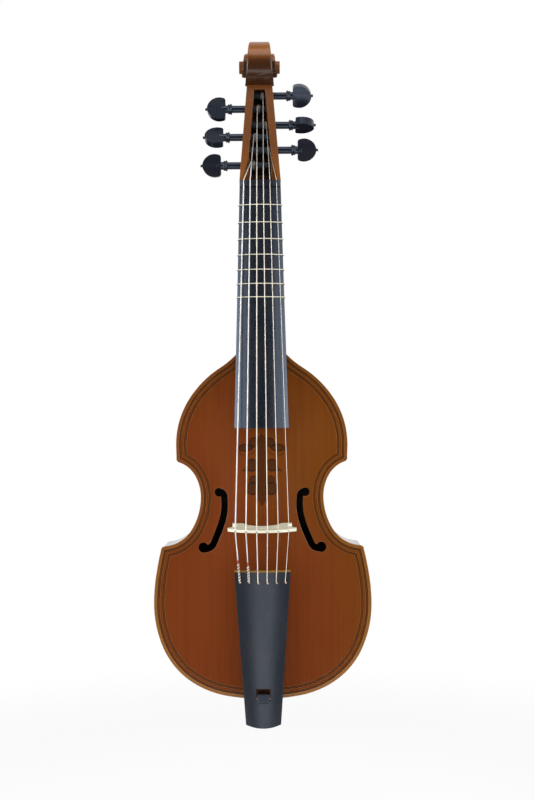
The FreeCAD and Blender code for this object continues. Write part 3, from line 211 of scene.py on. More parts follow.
class Finish:
    def __init__(self, name):
        self.material = bpy.data.materials.new(name)
        self.material.use_nodes = True
        self.tree = self.material.node_tree
        self.tree.nodes.clear()
        self.shader = self.tree.nodes.new("ShaderNodeBsdfPrincipled")
        output = self.tree.nodes.new("ShaderNodeOutputMaterial")
        self.tree.links.new(self.shader.outputs[0], output.inputs["Surface"])

    def node(self, kind, settings=None, values=None, output=0):
        made = self.tree.nodes.new(kind)
        for name, setting in (settings or {}).items():
            setattr(made, name, setting)
        for key, value in (values or {}).items():
            self.plug(made.inputs[key], value)
        return Wire(self, made.outputs[output])

    def plug(self, socket, value):
        if isinstance(value, Wire):
            self.tree.links.new(value.socket, socket)
        else:
            socket.default_value = value

    def place(self):
        """The point's X, Y and Z in metres, fixed to the piece."""
        if not hasattr(self, "point"):
            self.point = self.node("ShaderNodeTexCoord", output="Object")
            split = self.tree.nodes.new("ShaderNodeSeparateXYZ")
            self.tree.links.new(self.point.socket, split.inputs[0])
            self.xyz = [Wire(self, socket) for socket in split.outputs]
        return self.xyz

    def noise(self, scale, stretch=(1, 1, 1), detail=2.0, roughness=0.5, output=0):
        self.place()
        settings = {"operation": "MULTIPLY"}
        stretched = self.node("ShaderNodeVectorMath", settings, {0: self.point, 1: stretch})
        values = {"Vector": stretched, "Scale": scale, "Detail": detail, "Roughness": roughness}
        return self.node("ShaderNodeTexNoise", None, values, output)

    def blend(self, factor, first, second, kind="MIX"):
        settings = {"data_type": "RGBA", "blend_type": kind}
        return self.node("ShaderNodeMix", settings, {0: factor, 6: first, 7: second}, 2)

    def set(self, **values):
        for name, value in values.items():
            self.plug(self.shader.inputs[name.replace("_", " ")], value)

    def relief(self, height, distance, strength=1.0):
        values = {"Height": height, "Distance": distance, "Strength": strength}
        self.set(Normal=self.node("ShaderNodeBump", None, values))


def colour(red, green, blue):
    return (red, green, blue, 1)


def told(material):
    """Print how large a finished recipe is, and pass its material on."""
    print(material.name, "has", len(material.node_tree.nodes), "nodes")
    return material


# %% [markdown]
# The Bevel node gives the normal that a slightly rounded edge would have. Where it differs from
# the true normal there is an edge, so one node softens the shading and also tells where a
# lighter colour is painted along the edges as a highlight.

# %% Find the edges


def soften(finish, radius, height=None, distance=0.0):
    """Round the shading at edges, add a fine relief, and return 0 on faces and 1 at edges."""
    rounded = finish.node("ShaderNodeBevel", {"samples": 4}, {"Radius": radius})
    true = finish.node("ShaderNodeNewGeometry", output="Normal")
    settings = {"operation": "DOT_PRODUCT"}
    together = finish.node("ShaderNodeVectorMath", settings, {0: rounded, 1: true}, 1)
    if height is None:
        finish.set(Normal=rounded)
    else:
        values = {"Height": height, "Distance": distance, "Strength": 1.0, "Normal": rounded}
        finish.set(Normal=finish.node("ShaderNodeBump", None, values))
    return (1 - together).ramp(0.01, 0.22)


# %% [markdown]
# The belly is spruce: two halves joined on the middle line, so the grain is mirrored there.
# Year lines about a millimetre apart run up the plate, darker than the wood between them. The
# oil varnish over it goes from red-brown low down to golden near the treble shoulder, partly as
# its own tone and partly as painted light from the upper right. A leafy stem is drawn in ink
# above the bridge. Each leaf is an ellipse in millimetres from the middle line, and diamonds are
# hatched inside the shapes.

# %% Work out the spruce's pattern
RED_VARNISH = colour(0.128, 0.028, 0.0058)
GOLD_AND_LIT_VARNISH = colour(0.128, 0.037, 0.0048)
DARK_VARNISH = colour(0.062, 0.014, 0.0040)
EDGE_HIGHLIGHT_VARNISH = colour(0.330, 0.150, 0.035)
MARGIN_VARNISH = colour(0.240, 0.105, 0.016)
YEAR_LINE = 0.0011


def varnish_gloss(finish, roughness, gloss=0.35, coat=0.35):
    finish.set(Roughness=roughness, Specular_IOR_Level=gloss, Coat_Weight=coat, Coat_Roughness=0.12)


def spruce_pattern(finish):
    """Colour, year lines and grain relief of the varnished belly."""
    x, _, z = finish.place()
    drift = finish.noise(11, (1, 1, 0.25), 2)
    across = x.size() + drift * 0.006
    late = (across * (2 * math.pi / YEAR_LINE)).sine().ramp(0.0, 1.0)
    streak = finish.noise(1, (420, 60, 5), 3, 0.6)
    cloud = finish.noise(14, (1, 1, 0.5), 3)
    # Painted light: golder towards the upper right, over the varnish's own cloudy tone.
    golden = (cloud * 0.9 + x * 3.2 + z * 1.6).ramp(0.30, 0.85)
    tone = finish.blend(golden, RED_VARNISH, GOLD_AND_LIT_VARNISH)
    tone = finish.blend(streak.ramp(0.25, 0.8, 0.0, 0.30), tone, DARK_VARNISH)
    tone = finish.blend(late * 0.22, tone, DARK_VARNISH)
    return tone, late, streak


print("year lines", YEAR_LINE / MM, "mm apart")

# %% Work out the ornament
INK = colour(0.014, 0.009, 0.0045)
LEAVES = [((8.7, 84.2), (3.8, 4.8), 35), ((16.0, 79.0), (6.7, 3.6), -6), ((10.0, 61.4), (5.0, 5.8), 0),
          ((8.4, 46.7), (3.9, 3.9), 0), ((9.4, 38.2), (5.5, 6.1), 0)]


def ellipse(u, v, middle, half, turn=0):
    """1 in the middle, 0 on the rim and less outside."""
    turn = math.radians(turn)
    right = u - middle[0]
    up = v - middle[1]
    along = (right * math.cos(turn) + up * math.sin(turn)) / half[0]
    across = (up * math.cos(turn) - right * math.sin(turn)) / half[1]
    return 1 - (along * along + across * across) ** 0.5


def ink_drawing(finish):
    """0 on bare wood and 1 on ink: a stem and leaves down the middle, mirrored in it."""
    x, _, z = finish.place()
    shake = finish.noise(160, (1, 1, 1), 2)
    u = x.size() * 1000 + shake * 0.8 - 0.4
    v = z * 1000 + shake * 1.0 - 0.5
    tips = ((92.8 - v) * 0.85).least((v - 20.5) * 0.62)
    stem = (tips.least(4.0) - u) * 0.3
    leaves = [ellipse(u, v, middle, half, turn) for middle, half, turn in LEAVES]
    tail = ((u - 9.0).least(v - 55.6)).least(75.5 - u - v) * 0.3
    inside = stem.most(tail)
    line = 1 - (stem.size().least(tail.size())).ramp(0.03, 0.12)
    for leaf in leaves:
        inside = inside.most(leaf)
        line = line.most(1 - leaf.size().ramp(0.07, 0.19))
    curl = ellipse(u, v, (15.0, 77.0), (8.4, 5.6), -8)
    line = line.most((1 - curl.size().ramp(0.03, 0.10)) * (76.5 - v).ramp(0, 1) * 0.7)
    rising = ((u * 0.48 + v * 0.30) * math.pi).sine().size()
    falling = ((u * 0.48 - v * 0.30) * math.pi).sine().size()
    hatch = rising.least(falling).ramp(0.18, 0.60, 1.0, 0.42)
    return ((inside * 40).ramp(0, 1) * hatch).most(line)


print(2 * len(LEAVES), "leaves on the belly")

# %% Finish the spruce


def varnished_spruce():
    finish = Finish("varnished_spruce")
    tone, late, streak = spruce_pattern(finish)
    edge_highlight = soften(finish, 0.0009, late * -0.4 + streak, 0.00004)
    # Painted highlight: a lighter colour along the edges.
    tone = finish.blend(edge_highlight * 0.9, tone, EDGE_HIGHLIGHT_VARNISH)
    finish.set(Base_Color=finish.blend(ink_drawing(finish) * 0.92, tone, INK))
    varnish_gloss(finish, streak.ramp(0.2, 0.8, 0.34, 0.44), 0.02, edge_highlight.ramp(0.1, 1, 0.0, 0.9))
    return finish.material


def margin_spruce():
    finish = Finish("margin_spruce")
    tone, late, streak = spruce_pattern(finish)
    edge_highlight = soften(finish, 0.0013, streak, 0.00003)
    _, _, z = finish.place()
    tone = finish.blend(z.ramp(-0.15, 0.08, 0.55, 0.18), tone, MARGIN_VARNISH)
    # Painted highlight: a lighter colour along the edges.
    finish.set(Base_Color=finish.blend(edge_highlight * 0.7, tone, EDGE_HIGHLIGHT_VARNISH))
    varnish_gloss(finish, streak.ramp(0.2, 0.8, 0.24, 0.34), 0.15, edge_highlight.ramp(0, 1, 0.1, 1.0))
    return finish.material


spruce = told(varnished_spruce())
margin = told(margin_spruce())

# %% [markdown]
# Ribs, back, neck and head are maple. Its curl is a set of soft bands that cross the grain, and
# on each piece they follow the way its strip was cut, so the formula for the bands is an input.
# The waist ribs get more gloss than the others. That is for this camera: they show as slivers
# beside the belly, and mirror the white backdrop.

# %% Work out the head's tones
HEAD_BROWN = colour(0.108, 0.036, 0.010)
HEAD_GOLD_AND_HIGHLIGHT = colour(0.215, 0.070, 0.009)
CURL_GOLD = colour(0.225, 0.082, 0.013)
PAINTED_SHADE_BLACK = colour(0.006, 0.002, 0.001)


def pegbox_depth(finish):
    """Painted shade: 0 on the outside of the pegbox, and up to 1 deep inside it."""
    x, y, z = finish.place()
    half = 0.0388 - z * 0.075
    inside = (half - x.size()).ramp(0.0, 0.0006)
    front = z * 0.1827 - 0.1071
    return inside * (y - front).ramp(0.001, 0.009)


def head_tone(finish):
    """The pegbox is browner than the body and golden at the nut; the gold on top of the volute is painted
    light from above.
    """
    z = finish.place()[2]
    golden = z.ramp(0.350, 0.395, 0.7, 0.0).most(z.ramp(0.472, 0.490))
    return finish.blend(golden, HEAD_BROWN, HEAD_GOLD_AND_HIGHLIGHT)


def volute_throat(finish):
    """Painted shade, low on the volute's front, where the photo is dark."""
    _, y, z = finish.place()
    return z.ramp(0.4835, 0.4720, 0.0, 0.78) * (-0.022 - y).ramp(0.0, 0.004)


print("the head goes from", HEAD_BROWN[:3], "to", HEAD_GOLD_AND_HIGHLIGHT[:3])

# %% Finish the maple
RIB_GRAIN = (60, 420, 60)
HEAD_GRAIN = (380, 380, 14)


def varnished_maple(name, along, curl=0.0065, shade=0.0, stretch=(420, 420, 14), edge=0.0007,
                    deep=None, flame=0.75, gloss=0.35, plain=lambda finish: RED_VARNISH):
    """along is how far a point lies along the piece, as factors of |X|, Y and Z."""
    finish = Finish(name)
    x, y, z = finish.place()
    run = x.size() * along[0] + y * along[1] + z * along[2]
    bend = finish.noise(60, (1, 1, 1), 2)
    band = (run * (2 * math.pi / curl) + bend * 9.0).sine().ramp(-0.6, 1.0)
    strength = finish.noise(22, (1, 1, 1), 2).ramp(0.35, 0.65, 0.15, 1.0)
    grain = finish.noise(1, stretch, 3, 0.65)
    tone = finish.blend((band * strength * flame).ramp(0.0, 1.0), plain(finish), CURL_GOLD)
    tone = finish.blend(grain.ramp(0.45, 0.9, 0.0, 0.45), tone, DARK_VARNISH)
    if shade:
        tone = finish.blend(shade, tone, DARK_VARNISH)
    edge_highlight = soften(finish, edge, grain, 0.00003)
    # Painted highlight: a lighter colour along the edges.
    tone = finish.blend(edge_highlight * 0.8, tone, EDGE_HIGHLIGHT_VARNISH)
    # Painted shade, where a mask is given: deep in the pegbox, low on the volute's front.
    if deep:
        tone = finish.blend(deep(finish) * 0.95, tone, PAINTED_SHADE_BLACK)
    finish.set(Base_Color=tone)
    varnish_gloss(finish, grain.ramp(0.2, 0.8, 0.20, 0.32), gloss, gloss)
    return finish.material


back_maple = told(varnished_maple("back_maple", (0.22, 0, 1), 0.0075, 0.15))
lower_rib_maple = told(varnished_maple("lower_rib_maple", (1, 0, 1), 0.0070, 0.2, RIB_GRAIN))
waist_rib_maple = told(varnished_maple("waist_rib_maple", (0.2, 0, 1), 0.0065, 0.2, RIB_GRAIN, gloss=0.8))
upper_rib_maple = told(varnished_maple("upper_rib_maple", (-1, 0, 1), 0.0070, 0.2, RIB_GRAIN))
neck_maple = told(varnished_maple("neck_maple", (0.3, 0, 1), 0.0060, 0.0))
head_maple = told(varnished_maple("head_maple", (0.2, 0.2, 1), 0.0060, 0.05, HEAD_GRAIN, 0.0008,
                                  None, 0.3, 0.15, head_tone))
pegbox_inside = told(varnished_maple("pegbox_inside", (0.2, 0.2, 1), 0.0060, 0.05, HEAD_GRAIN, 0.0008,
                                     pegbox_depth, 0.3, 0.15, head_tone))
volute_maple = told(varnished_maple("volute_maple", (0.2, 0.2, 1), 0.0060, 0.05, HEAD_GRAIN, 0.0010,
                                    volute_throat, 0.2, 0.22, head_tone))

# %% [markdown]
# Ebony is almost black. Worked and oiled, it keeps a satin face, with short pores along the
# grain and a faint brown streak here and there.

# %% Finish the ebony
EBONY_BLACK = colour(0.0055, 0.0070, 0.0115)
EBONY_STREAK = colour(0.0110, 0.0115, 0.0150)
EBONY_EDGE_HIGHLIGHT = colour(0.045, 0.047, 0.055)
PEGBOX_HALF = 0.0095


def ebony(name, along=2, edge=0.0004, rough=0.24, inner=0.0, tint=(0.62, 0.76, 1.0), gloss=0.6):
    """Nearer the middle than inner it is dull, so a peg doesn't shine inside its box."""
    finish = Finish(name)
    dull = (inner - finish.place()[0].size()).ramp(0.0, 0.0005, 0.0, 0.75)
    long = [3 if axis == along else 90 for axis in range(3)]
    short = [30 if axis == along else 900 for axis in range(3)]
    pores = finish.noise(1, short, 3, 0.6)
    streaks = finish.noise(1, long, 2)
    tone = finish.blend(streaks.ramp(0.35, 0.75), EBONY_BLACK, EBONY_STREAK)
    edge_highlight = soften(finish, edge, pores, 0.00002)
    # Painted highlight: the edges are lighter.
    finish.set(Base_Color=finish.blend(edge_highlight * 0.5, tone, EBONY_EDGE_HIGHLIGHT),
               Roughness=pores.ramp(0.2, 0.8, rough, rough + 0.10).most(dull), Specular_IOR_Level=gloss,
               Specular_Tint=colour(*tint))
    return finish.material


board_ebony = told(ebony("board_ebony", rough=0.24))
tail_ebony = told(ebony("tail_ebony", rough=0.27, tint=(0.78, 0.87, 1.0), gloss=0.48))
peg_ebony = told(ebony("peg_ebony", along=0, edge=0.0006, rough=0.18, inner=PEGBOX_HALF))

# %% [markdown]
# The pieces inside are bare wood, and pale on the real instrument. The photo shows nothing through
# the sound holes but black, and the lamps here would light the inside up, so they are painted
# nearly black, for the picture's sake. The bridge is bare maple and pale. Both get fine grain and
# the small flecks of quartered wood.

# %% Finish the bare woods


def bare_wood(name, pale, brown, along=2, rough=0.6):
    finish = Finish(name)
    fine = finish.noise(1, [12 if axis == along else 500 for axis in range(3)], 3, 0.6)
    fleck = finish.noise(1, [150 if axis == along else 1100 for axis in range(3)], 2)
    tone = finish.blend(fine.ramp(0.3, 0.8, 0.0, 0.7), pale, brown)
    tone = finish.blend(fleck.ramp(0.62, 0.75, 0.0, 0.5), tone, brown)
    soften(finish, 0.0003, fine, 0.00003)
    finish.set(Base_Color=tone, Roughness=fine.ramp(0.2, 0.8, rough - 0.08, rough + 0.08))
    return finish.material


# Painted shade: the pieces inside are nearly black.
painted_shade_wood = told(bare_wood("painted_shade_wood", colour(0.020, 0.014, 0.008), colour(0.012, 0.008, 0.004)))
bridge_maple = told(bare_wood("bridge_maple", colour(0.60, 0.59, 0.46), colour(0.48, 0.46, 0.34), 0, 0.5))

# %% [markdown]
# Gut is twisted from wet strands and dries smooth, cream and a little translucent. The two
# lowest strings are gut wound with fine metal wire, so they catch the light in tiny ridges. Above
# the nut the strings lie in the pegbox's shade, and that shade is painted on them too.

# %% Finish the strings
PEGBOX_SHADE = (0.349, 0.375, 0.0, 0.7)


def gut_finish(name, tone=colour(0.66, 0.60, 0.52), twist=0.0016):
    finish = Finish(name)
    x, y, z = finish.place()
    strand = ((z + x * 0.7 + y * 0.7) * (2 * math.pi / twist)).sine()
    cloud = finish.noise(260, (1, 1, 0.4), 2)
    shaded = finish.blend(cloud.ramp(0.3, 0.8), tone, colour(*[part * 0.82 for part in tone[:3]]))
    shaded = finish.blend(z.ramp(*PEGBOX_SHADE), shaded, colour(0.10, 0.09, 0.07))
    finish.set(Base_Color=shaded, Roughness=cloud.ramp(0.2, 0.8, 0.32, 0.45))
    finish.relief(strand, 0.00002, 0.6)
    return finish.material


def wound_finish(name, wire=0.00022):
    finish = Finish(name)
    _, _, z = finish.place()
    ridge = (z * (2 * math.pi / wire)).sine()
    cloud = finish.noise(200, (1, 1, 0.3), 2)
    tone = finish.blend(cloud.ramp(0.3, 0.8), colour(0.70, 0.68, 0.66), colour(0.56, 0.53, 0.51))
    tone = finish.blend(z.ramp(*PEGBOX_SHADE), tone, colour(0.10, 0.09, 0.08))
    finish.set(Base_Color=tone, Metallic=0.35, Roughness=cloud.ramp(0.2, 0.8, 0.34, 0.48))
    finish.relief(ridge, 0.00003, 0.7)
    return finish.material


gut = told(gut_finish("string_gut"))
fret_gut = told(gut_finish("fret_gut", colour(0.66, 0.62, 0.48)))
wound = told(wound_finish("wound_string"))

# %% [markdown]
# Each purfling band is three thin strips let into a groove: dark, light, dark. They lie under
# the varnish, so even the light strip is golden and the dark ones are brown, not black.

# %% Finish the purfling


def strip_finish(name, first, second):
    finish = Finish(name)
    fine = finish.noise(900, (1, 1, 1), 3)
    long = finish.noise(70, (1, 1, 1), 2)
    finish.set(Base_Color=finish.blend((fine * 0.5 + long * 0.5).ramp(0.3, 0.7), first, second))
    varnish_gloss(finish, fine.ramp(0.2, 0.8, 0.30, 0.40), 0.02, 0.0)
    return finish.material


dark_strip = told(strip_finish("dark_strip", colour(0.011, 0.006, 0.003), colour(0.018, 0.009, 0.004)))
light_strip = told(strip_finish("light_strip", colour(0.098, 0.030, 0.007), colour(0.076, 0.023, 0.006)))
saddle_wood = told(strip_finish("saddle_wood", colour(0.24, 0.13, 0.025), colour(0.17, 0.09, 0.018)))

# %% [markdown]
# The CAD pieces are dressed now. Their shapes are right as they are, so each gets its material.

# %% Dress the CAD pieces


def dress(material, *names):
    for name in names:
        piece = nodes[name]
        piece.data.materials.clear()
        piece.data.materials.append(material)


SLOT_FINISHES = {"spruce": spruce, "maple": neck_maple, "block_wood": painted_shade_wood, "ebony": board_ebony,
                 "bridge_wood": bridge_maple, "dark_strip": dark_strip, "light_strip": light_strip,
                 "gut": gut, "wound_string": wound}
for subpart in frame["record"]["subparts"]:
    dress(SLOT_FINISHES[subpart["material_slot"]], subpart["node"])
dress(back_maple, "back")
dress(head_maple, "pegbox", "scroll")
for side in ("bass", "treble"):
    dress(lower_rib_maple, f"rib_lower_{side}")
    dress(waist_rib_maple, f"rib_waist_{side}")
    dress(upper_rib_maple, f"rib_upper_{side}")
dress(tail_ebony, "tailpiece", "tail_hook")
dress(peg_ebony, *[f"peg_{number}" for number in range(1, 7)])
dress(fret_gut, *[f"fret_{number}" for number in range(1, 8)])
dress(saddle_wood, "tailpiece_saddle")
print(len(nodes), "pieces dressed in", len(bpy.data.materials), "finishes")

# %% [markdown]
# Outside the outer purfling band the belly's varnish is golden, more so towards the bottom.
# That margin is the part of the front that joins the widest point without crossing a groove, so
# a search from face to face finds it. Only the material of those faces changes.

# %% Dress the belly's margin


def joined_faces(piece, allowed, first):
    """The faces that join the given ones through the allowed ones."""
    corners = {}
    vertices = piece.data.vertices
    keys = {}
    for face in allowed:
        keys[face.index] = [tuple(round(part * 1e5) for part in vertices[index].co)
                            for index in face.vertices]
        for key in keys[face.index]:
            corners.setdefault(key, []).append(face.index)
    found = set(first)
    waiting = list(first)
    while waiting:
        for key in keys[waiting.pop()]:
            for index in corners.pop(key, []):
                if index not in found:
                    found.add(index)
                    waiting.append(index)
    return found


def second_finish(piece, material, indices):
    piece.data.materials.append(material)
    for index in indices:
        piece.data.polygons[index].material_index = 1


belly = nodes["belly"]
front = [face for face in belly.data.polygons if face.normal.y < -0.5]
ends = [max(front, key=lambda face: side * face.center.x).index for side in (-1, 1)]
rim = joined_faces(belly, front, ends)
second_finish(belly, margin, rim)
print(len(rim), "of", len(front), "front faces in the margin")

# %% [markdown]
# The photo shows the inside of the body and of the pegbox as black, so the faces there are
# painted dark, though the real wood is paler. These are the faces of the back that look
# forwards, and those of the pegbox between its cheeks that don't look backwards.

# %% Darken the insides
back = nodes["back"]
inner_back = [face.index for face in back.data.polygons if face.normal.y < -0.5]
second_finish(back, painted_shade_wood, inner_back)


def between_cheeks(face):
    return abs(face.center.x) < 0.0392 - face.center.z * 0.075 and face.normal.y < 0.5


pegbox = nodes["pegbox"]
hollow = [face.index for face in pegbox.data.polygons if between_cheeks(face)]
second_finish(pegbox, pegbox_inside, hollow)
print(len(inner_back), "faces inside the back,", len(hollow), "inside the pegbox")

# %% [markdown]
# The volute is carved from the end of the pegbox: one band that winds in towards an eye and
# widens all the way. It is modelled as it grows. A flat section stands across the band, and
# each step extrudes it, turns it eight degrees round the eye, and draws it in and widens it.
# Three helpers come first: one starts a primitive, one picks its parts by place, and one closes
# the finished piece.

# %% Helpers for modelling by hand


def start(kind, name, **settings):
    """Add a primitive with nothing else selected, and open it for editing."""
    bpy.ops.object.select_all(action="DESELECT")
    getattr(bpy.ops.mesh, f"primitive_{kind}_add")(**settings)
    piece = bpy.context.object
    piece.name = name
    piece.data.name = name
    bpy.ops.object.mode_set(mode="EDIT")
    return piece


def pick(kind, test):
    """Select only the vertices, edges or faces whose middle passes the test."""
    bpy.ops.mesh.select_mode(type=kind)
    bpy.ops.mesh.select_all(action="DESELECT")
    piece = bpy.context.object
    shape = bmesh.from_edit_mesh(piece.data)
    members = {"VERT": shape.verts, "EDGE": shape.edges, "FACE": shape.faces}[kind]
    chosen = 0
    for member in members:
        if kind == "VERT":
            middle = member.co
        else:
            middle = sum((corner.co for corner in member.verts), Vector()) / len(member.verts)
        if test(piece.matrix_world @ middle):
            member.select_set(True)
            chosen += 1
    shape.select_flush_mode()
    bmesh.update_edit_mesh(piece.data)
    return chosen


def close(piece, material, body="root", smooth=35):
    """Leave edit mode, put the place into the mesh, smooth it and let it ride on its body."""
    if bpy.context.mode != "OBJECT":
        bpy.ops.object.mode_set(mode="OBJECT")
    bpy.ops.object.select_all(action="DESELECT")
    piece.select_set(True)
    bpy.context.view_layer.objects.active = piece
    for modifier in list(piece.modifiers):
        bpy.ops.object.modifier_apply(modifier=modifier.name)
    bpy.ops.object.transform_apply(location=True, rotation=True, scale=True)
    bpy.ops.object.mode_set(mode="EDIT")
    bpy.ops.mesh.select_all(action="SELECT")
    bpy.ops.mesh.remove_doubles(threshold=0.000002)
    bpy.ops.mesh.normals_make_consistent(inside=False)
    bpy.ops.object.mode_set(mode="OBJECT")
    if smooth:
        bpy.ops.object.shade_smooth_by_angle(angle=math.radians(smooth))
    piece.data.materials.clear()
    piece.data.materials.append(material)
    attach(piece, body)
    return piece


print("helpers: start, pick, close")

# %% Grow the volute
EYE = Vector((0, -0.020, 0.4739))
CREST_RADIUS = 0.0264
TIGHTENING = 0.0977
HALF_WIDTHS = [(-80, 11.8), (-30, 12.0), (90, 10.1), (180, 12.6), (270, 15.3), (360, 14.6),
               (450, 15.0), (540, 17.0), (630, 18.3), (720, 19.0), (760, 19.2)]
STEP = 8


def volute_radius(degrees):
    return CREST_RADIUS * math.exp(-TIGHTENING * max(math.radians(degrees - 90), 0))


def volute_half(degrees):
    for (low, first), (high, second) in zip(HALF_WIDTHS, HALF_WIDTHS[1:]):
        if degrees <= high:
            return (first + (second - first) * (degrees - low) / (high - low)) * MM
    return HALF_WIDTHS[-1][1] * MM


def volute():
    first = HALF_WIDTHS[0][0]
    inner = 0.45
    radius = volute_radius(first)
    half = volute_half(first)
    middle = EYE + Vector((0, radius * (1 + inner) / 2, 0))
    piece = start("plane", "scroll_volute", size=1, location=middle)
    bpy.ops.transform.resize(value=(2 * half, radius * (1 - inner), 1), center_override=middle)
    outer = EYE.y + radius
    pick("VERT", lambda at: at.y > outer - 0.0001)
    bpy.ops.mesh.bevel(offset=0.001, affect="VERTICES")
    pick("EDGE", lambda at: abs(abs(at.x) - half) < 0.0001)
    bpy.ops.mesh.subdivide(number_cuts=4)
    inner_edge = EYE.y + radius * inner
    for share, width in ((0.2, 0.80), (0.4, 0.81), (0.6, 0.85), (0.8, 0.93)):
        level = inner_edge + share * (outer - 0.001 - inner_edge)
        pick("VERT", lambda at: abs(at.y - level) < 0.0008)
        bpy.ops.transform.resize(value=(width, 1, 1), center_override=middle)
    bpy.ops.mesh.select_mode(type="FACE")
    bpy.ops.mesh.select_all(action="SELECT")
    bpy.ops.transform.rotate(value=-math.radians(first), orient_axis="X", center_override=EYE)
    at = first
    while at < HALF_WIDTHS[-1][0]:
        after = at + STEP
        bpy.ops.mesh.extrude_region_move()
        bpy.ops.transform.rotate(value=-math.radians(STEP), orient_axis="X", center_override=EYE)
        draw_in = volute_radius(after) / volute_radius(at)
        widen = volute_half(after) / volute_half(at)
        bpy.ops.transform.resize(value=(widen, draw_in, draw_in), center_override=EYE)
        at = after
    return piece


scroll = close(volute(), volute_maple)
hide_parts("scroll")
low, high = [Vector(corner) for corner in (scroll.bound_box[0], scroll.bound_box[6])]
print("volute from", low[:], "to", high[:], len(scroll.data.polygons), "faces")

# %% Turn the eye
eye = start("cylinder", "scroll_eye", vertices=48, radius=0.0064, depth=0.0424, location=EYE,
            rotation=(0, math.radians(90), 0))
pick("FACE", lambda at: abs(at.x) > 0.021)
bpy.ops.mesh.inset(thickness=0.0012, depth=0)
bpy.ops.mesh.inset(thickness=0.0014, depth=-0.0006)
pick("EDGE", lambda at: abs(at.x) > 0.0205)
bpy.ops.mesh.bevel(offset=0.0004, segments=2)
eye = close(eye, head_maple)
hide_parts("scroll")
print("eye of", len(eye.data.polygons), "faces round", tuple(round(part, 4) for part in EYE))

# %% [markdown]
# A string's turns on its peg are a coil, and so are the two strands of a twisted loop. A coil is
# a small circle beside an axis, swept round it by the Screw modifier and closed at both ends.
# The peg coils stand for the CAD sleeves of the same size and turn with their pegs.

# %% Wind the strings on the pegs


def coil(name, foot, way, radius, wire, turns, material, body="root", phase=0, sides=10):
    """A wire coiled round the line from foot along way, starting at that phase in degrees."""
    turned = way.to_track_quat("Y", "Z") @ Quaternion((0, 1, 0), math.radians(phase))
    piece = start("circle", name, vertices=sides, radius=wire, location=foot, rotation=turned.to_euler())
    bpy.ops.mesh.select_all(action="SELECT")
    bpy.ops.transform.translate(value=turned @ Vector((radius, 0, 0)))
    bpy.ops.object.mode_set(mode="OBJECT")
    screw = piece.modifiers.new("sweep", "SCREW")
    screw.axis = "Y"
    screw.iterations = turns
    screw.screw_offset = way.length / turns
    screw.steps = screw.render_steps = 18
    bpy.ops.object.modifier_apply(modifier=screw.name)
    bpy.ops.object.mode_set(mode="EDIT")
    bpy.ops.mesh.select_all(action="SELECT")
    bpy.ops.mesh.fill_holes(sides=0)
    return close(piece, material, body)


TURNS = 4
# Painted shade: the turns in the pegbox get a dark gut colour.
shaded_turns_gut = gut_finish("shaded_turns_gut", colour(0.20, 0.18, 0.12))
shaded_turns_wound = gut_finish("shaded_turns_wound", colour(0.22, 0.20, 0.17))
for number in range(1, 7):
    low, high = [Vector(corner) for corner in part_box(f"winding_{number}")]
    wire = (high.x - low.x) / (TURNS + 1) / 2
    middle = (low + high) / 2
    foot = Vector((low.x + wire, middle.y, middle.z))
    way = Vector((high.x - low.x - 2 * wire, 0, 0))
    outer = min(high.y - low.y, high.z - low.z) / 2
    coiled = shaded_turns_gut if number < 5 else shaded_turns_wound
    wound_on = coil(f"turns_{number}", foot, way, outer - wire, wire, TURNS, coiled, f"peg_{number}")
    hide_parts(f"winding_{number}")
print("six coils of", len(wound_on.data.polygons), "faces")

# %% [markdown]
# Below the bridge the two wound strings end in red silk and then in a twisted loop, and the gut
# strings are knotted in their holes. The way of each string is read from its CAD piece: from
# the ring of points at the bridge to the ring at its hole.

# %% Find where the strings run


def middle_of(points):
    """The middle of a ring of points, however unevenly they are spread round it."""
    return Vector([(min(part) + max(part)) / 2 for part in zip(*points)])


def thickness(number):
    points = [vertex.co for vertex in nodes[f"string_{number}"].data.vertices]
    low = min(point.z for point in points)
    across = [point.x for point in points if point.z < low + 0.002]
    return (max(across) - min(across)) / 2


def string_way(number):
    """Where the string crosses the bridge, and where it turns down into its hole."""
    points = [vertex.co.copy() for vertex in nodes[f"string_{number}"].data.vertices]
    low = min(point.z for point in points)
    turn = [point for point in points if point.z < low + 0.002]
    radius = thickness(number)
    across = middle_of(turn).x
    front = min(point.y for point in turn) + radius
    bridge = middle_of([point for point in points if abs(point.z) < 0.003])
    return bridge, Vector((across, front, low + radius))


def at_level(ends, level):
    first, last = ends
    return first.lerp(last, (first.z - level) / (first.z - last.z))


print("string 1 turns down at", tuple(round(part, 4) for part in string_way(1)[1]))

# %% Twist the loops and bind the silk
SILK_OVER = 0.0002
silk = gut_finish("red_silk", colour(0.30, 0.045, 0.025), 0.0005)
pale_strand = gut_finish("pale_strand", colour(0.80, 0.77, 0.72), 0.0009)
dark_strand = gut_finish("dark_strand", colour(0.11, 0.075, 0.05), 0.0009)
for number, top, end in ((6, -0.0300, -0.0338), (5, -0.0320, -0.0360)):
    ends = string_way(number)
    first = at_level(ends, top)
    last = at_level(ends, end)
    way = last - first
    bound = start("cylinder", f"silk_{number}", vertices=16, radius=thickness(number) + SILK_OVER,
                  depth=way.length, location=(first + last) / 2,
                  rotation=way.to_track_quat("Z", "Y").to_euler())
    close(bound, silk)
    for strand, phase, finish in (("pale", 0, pale_strand), ("dark", 180, dark_strand)):
        coil(f"{strand}_strand_{number}", last, ends[1] - last, 0.0007, 0.00055, 6, finish,
             phase=phase, sides=8)
print("silk on strings 5 and 6,", round(way.length / MM, 1), "mm long")

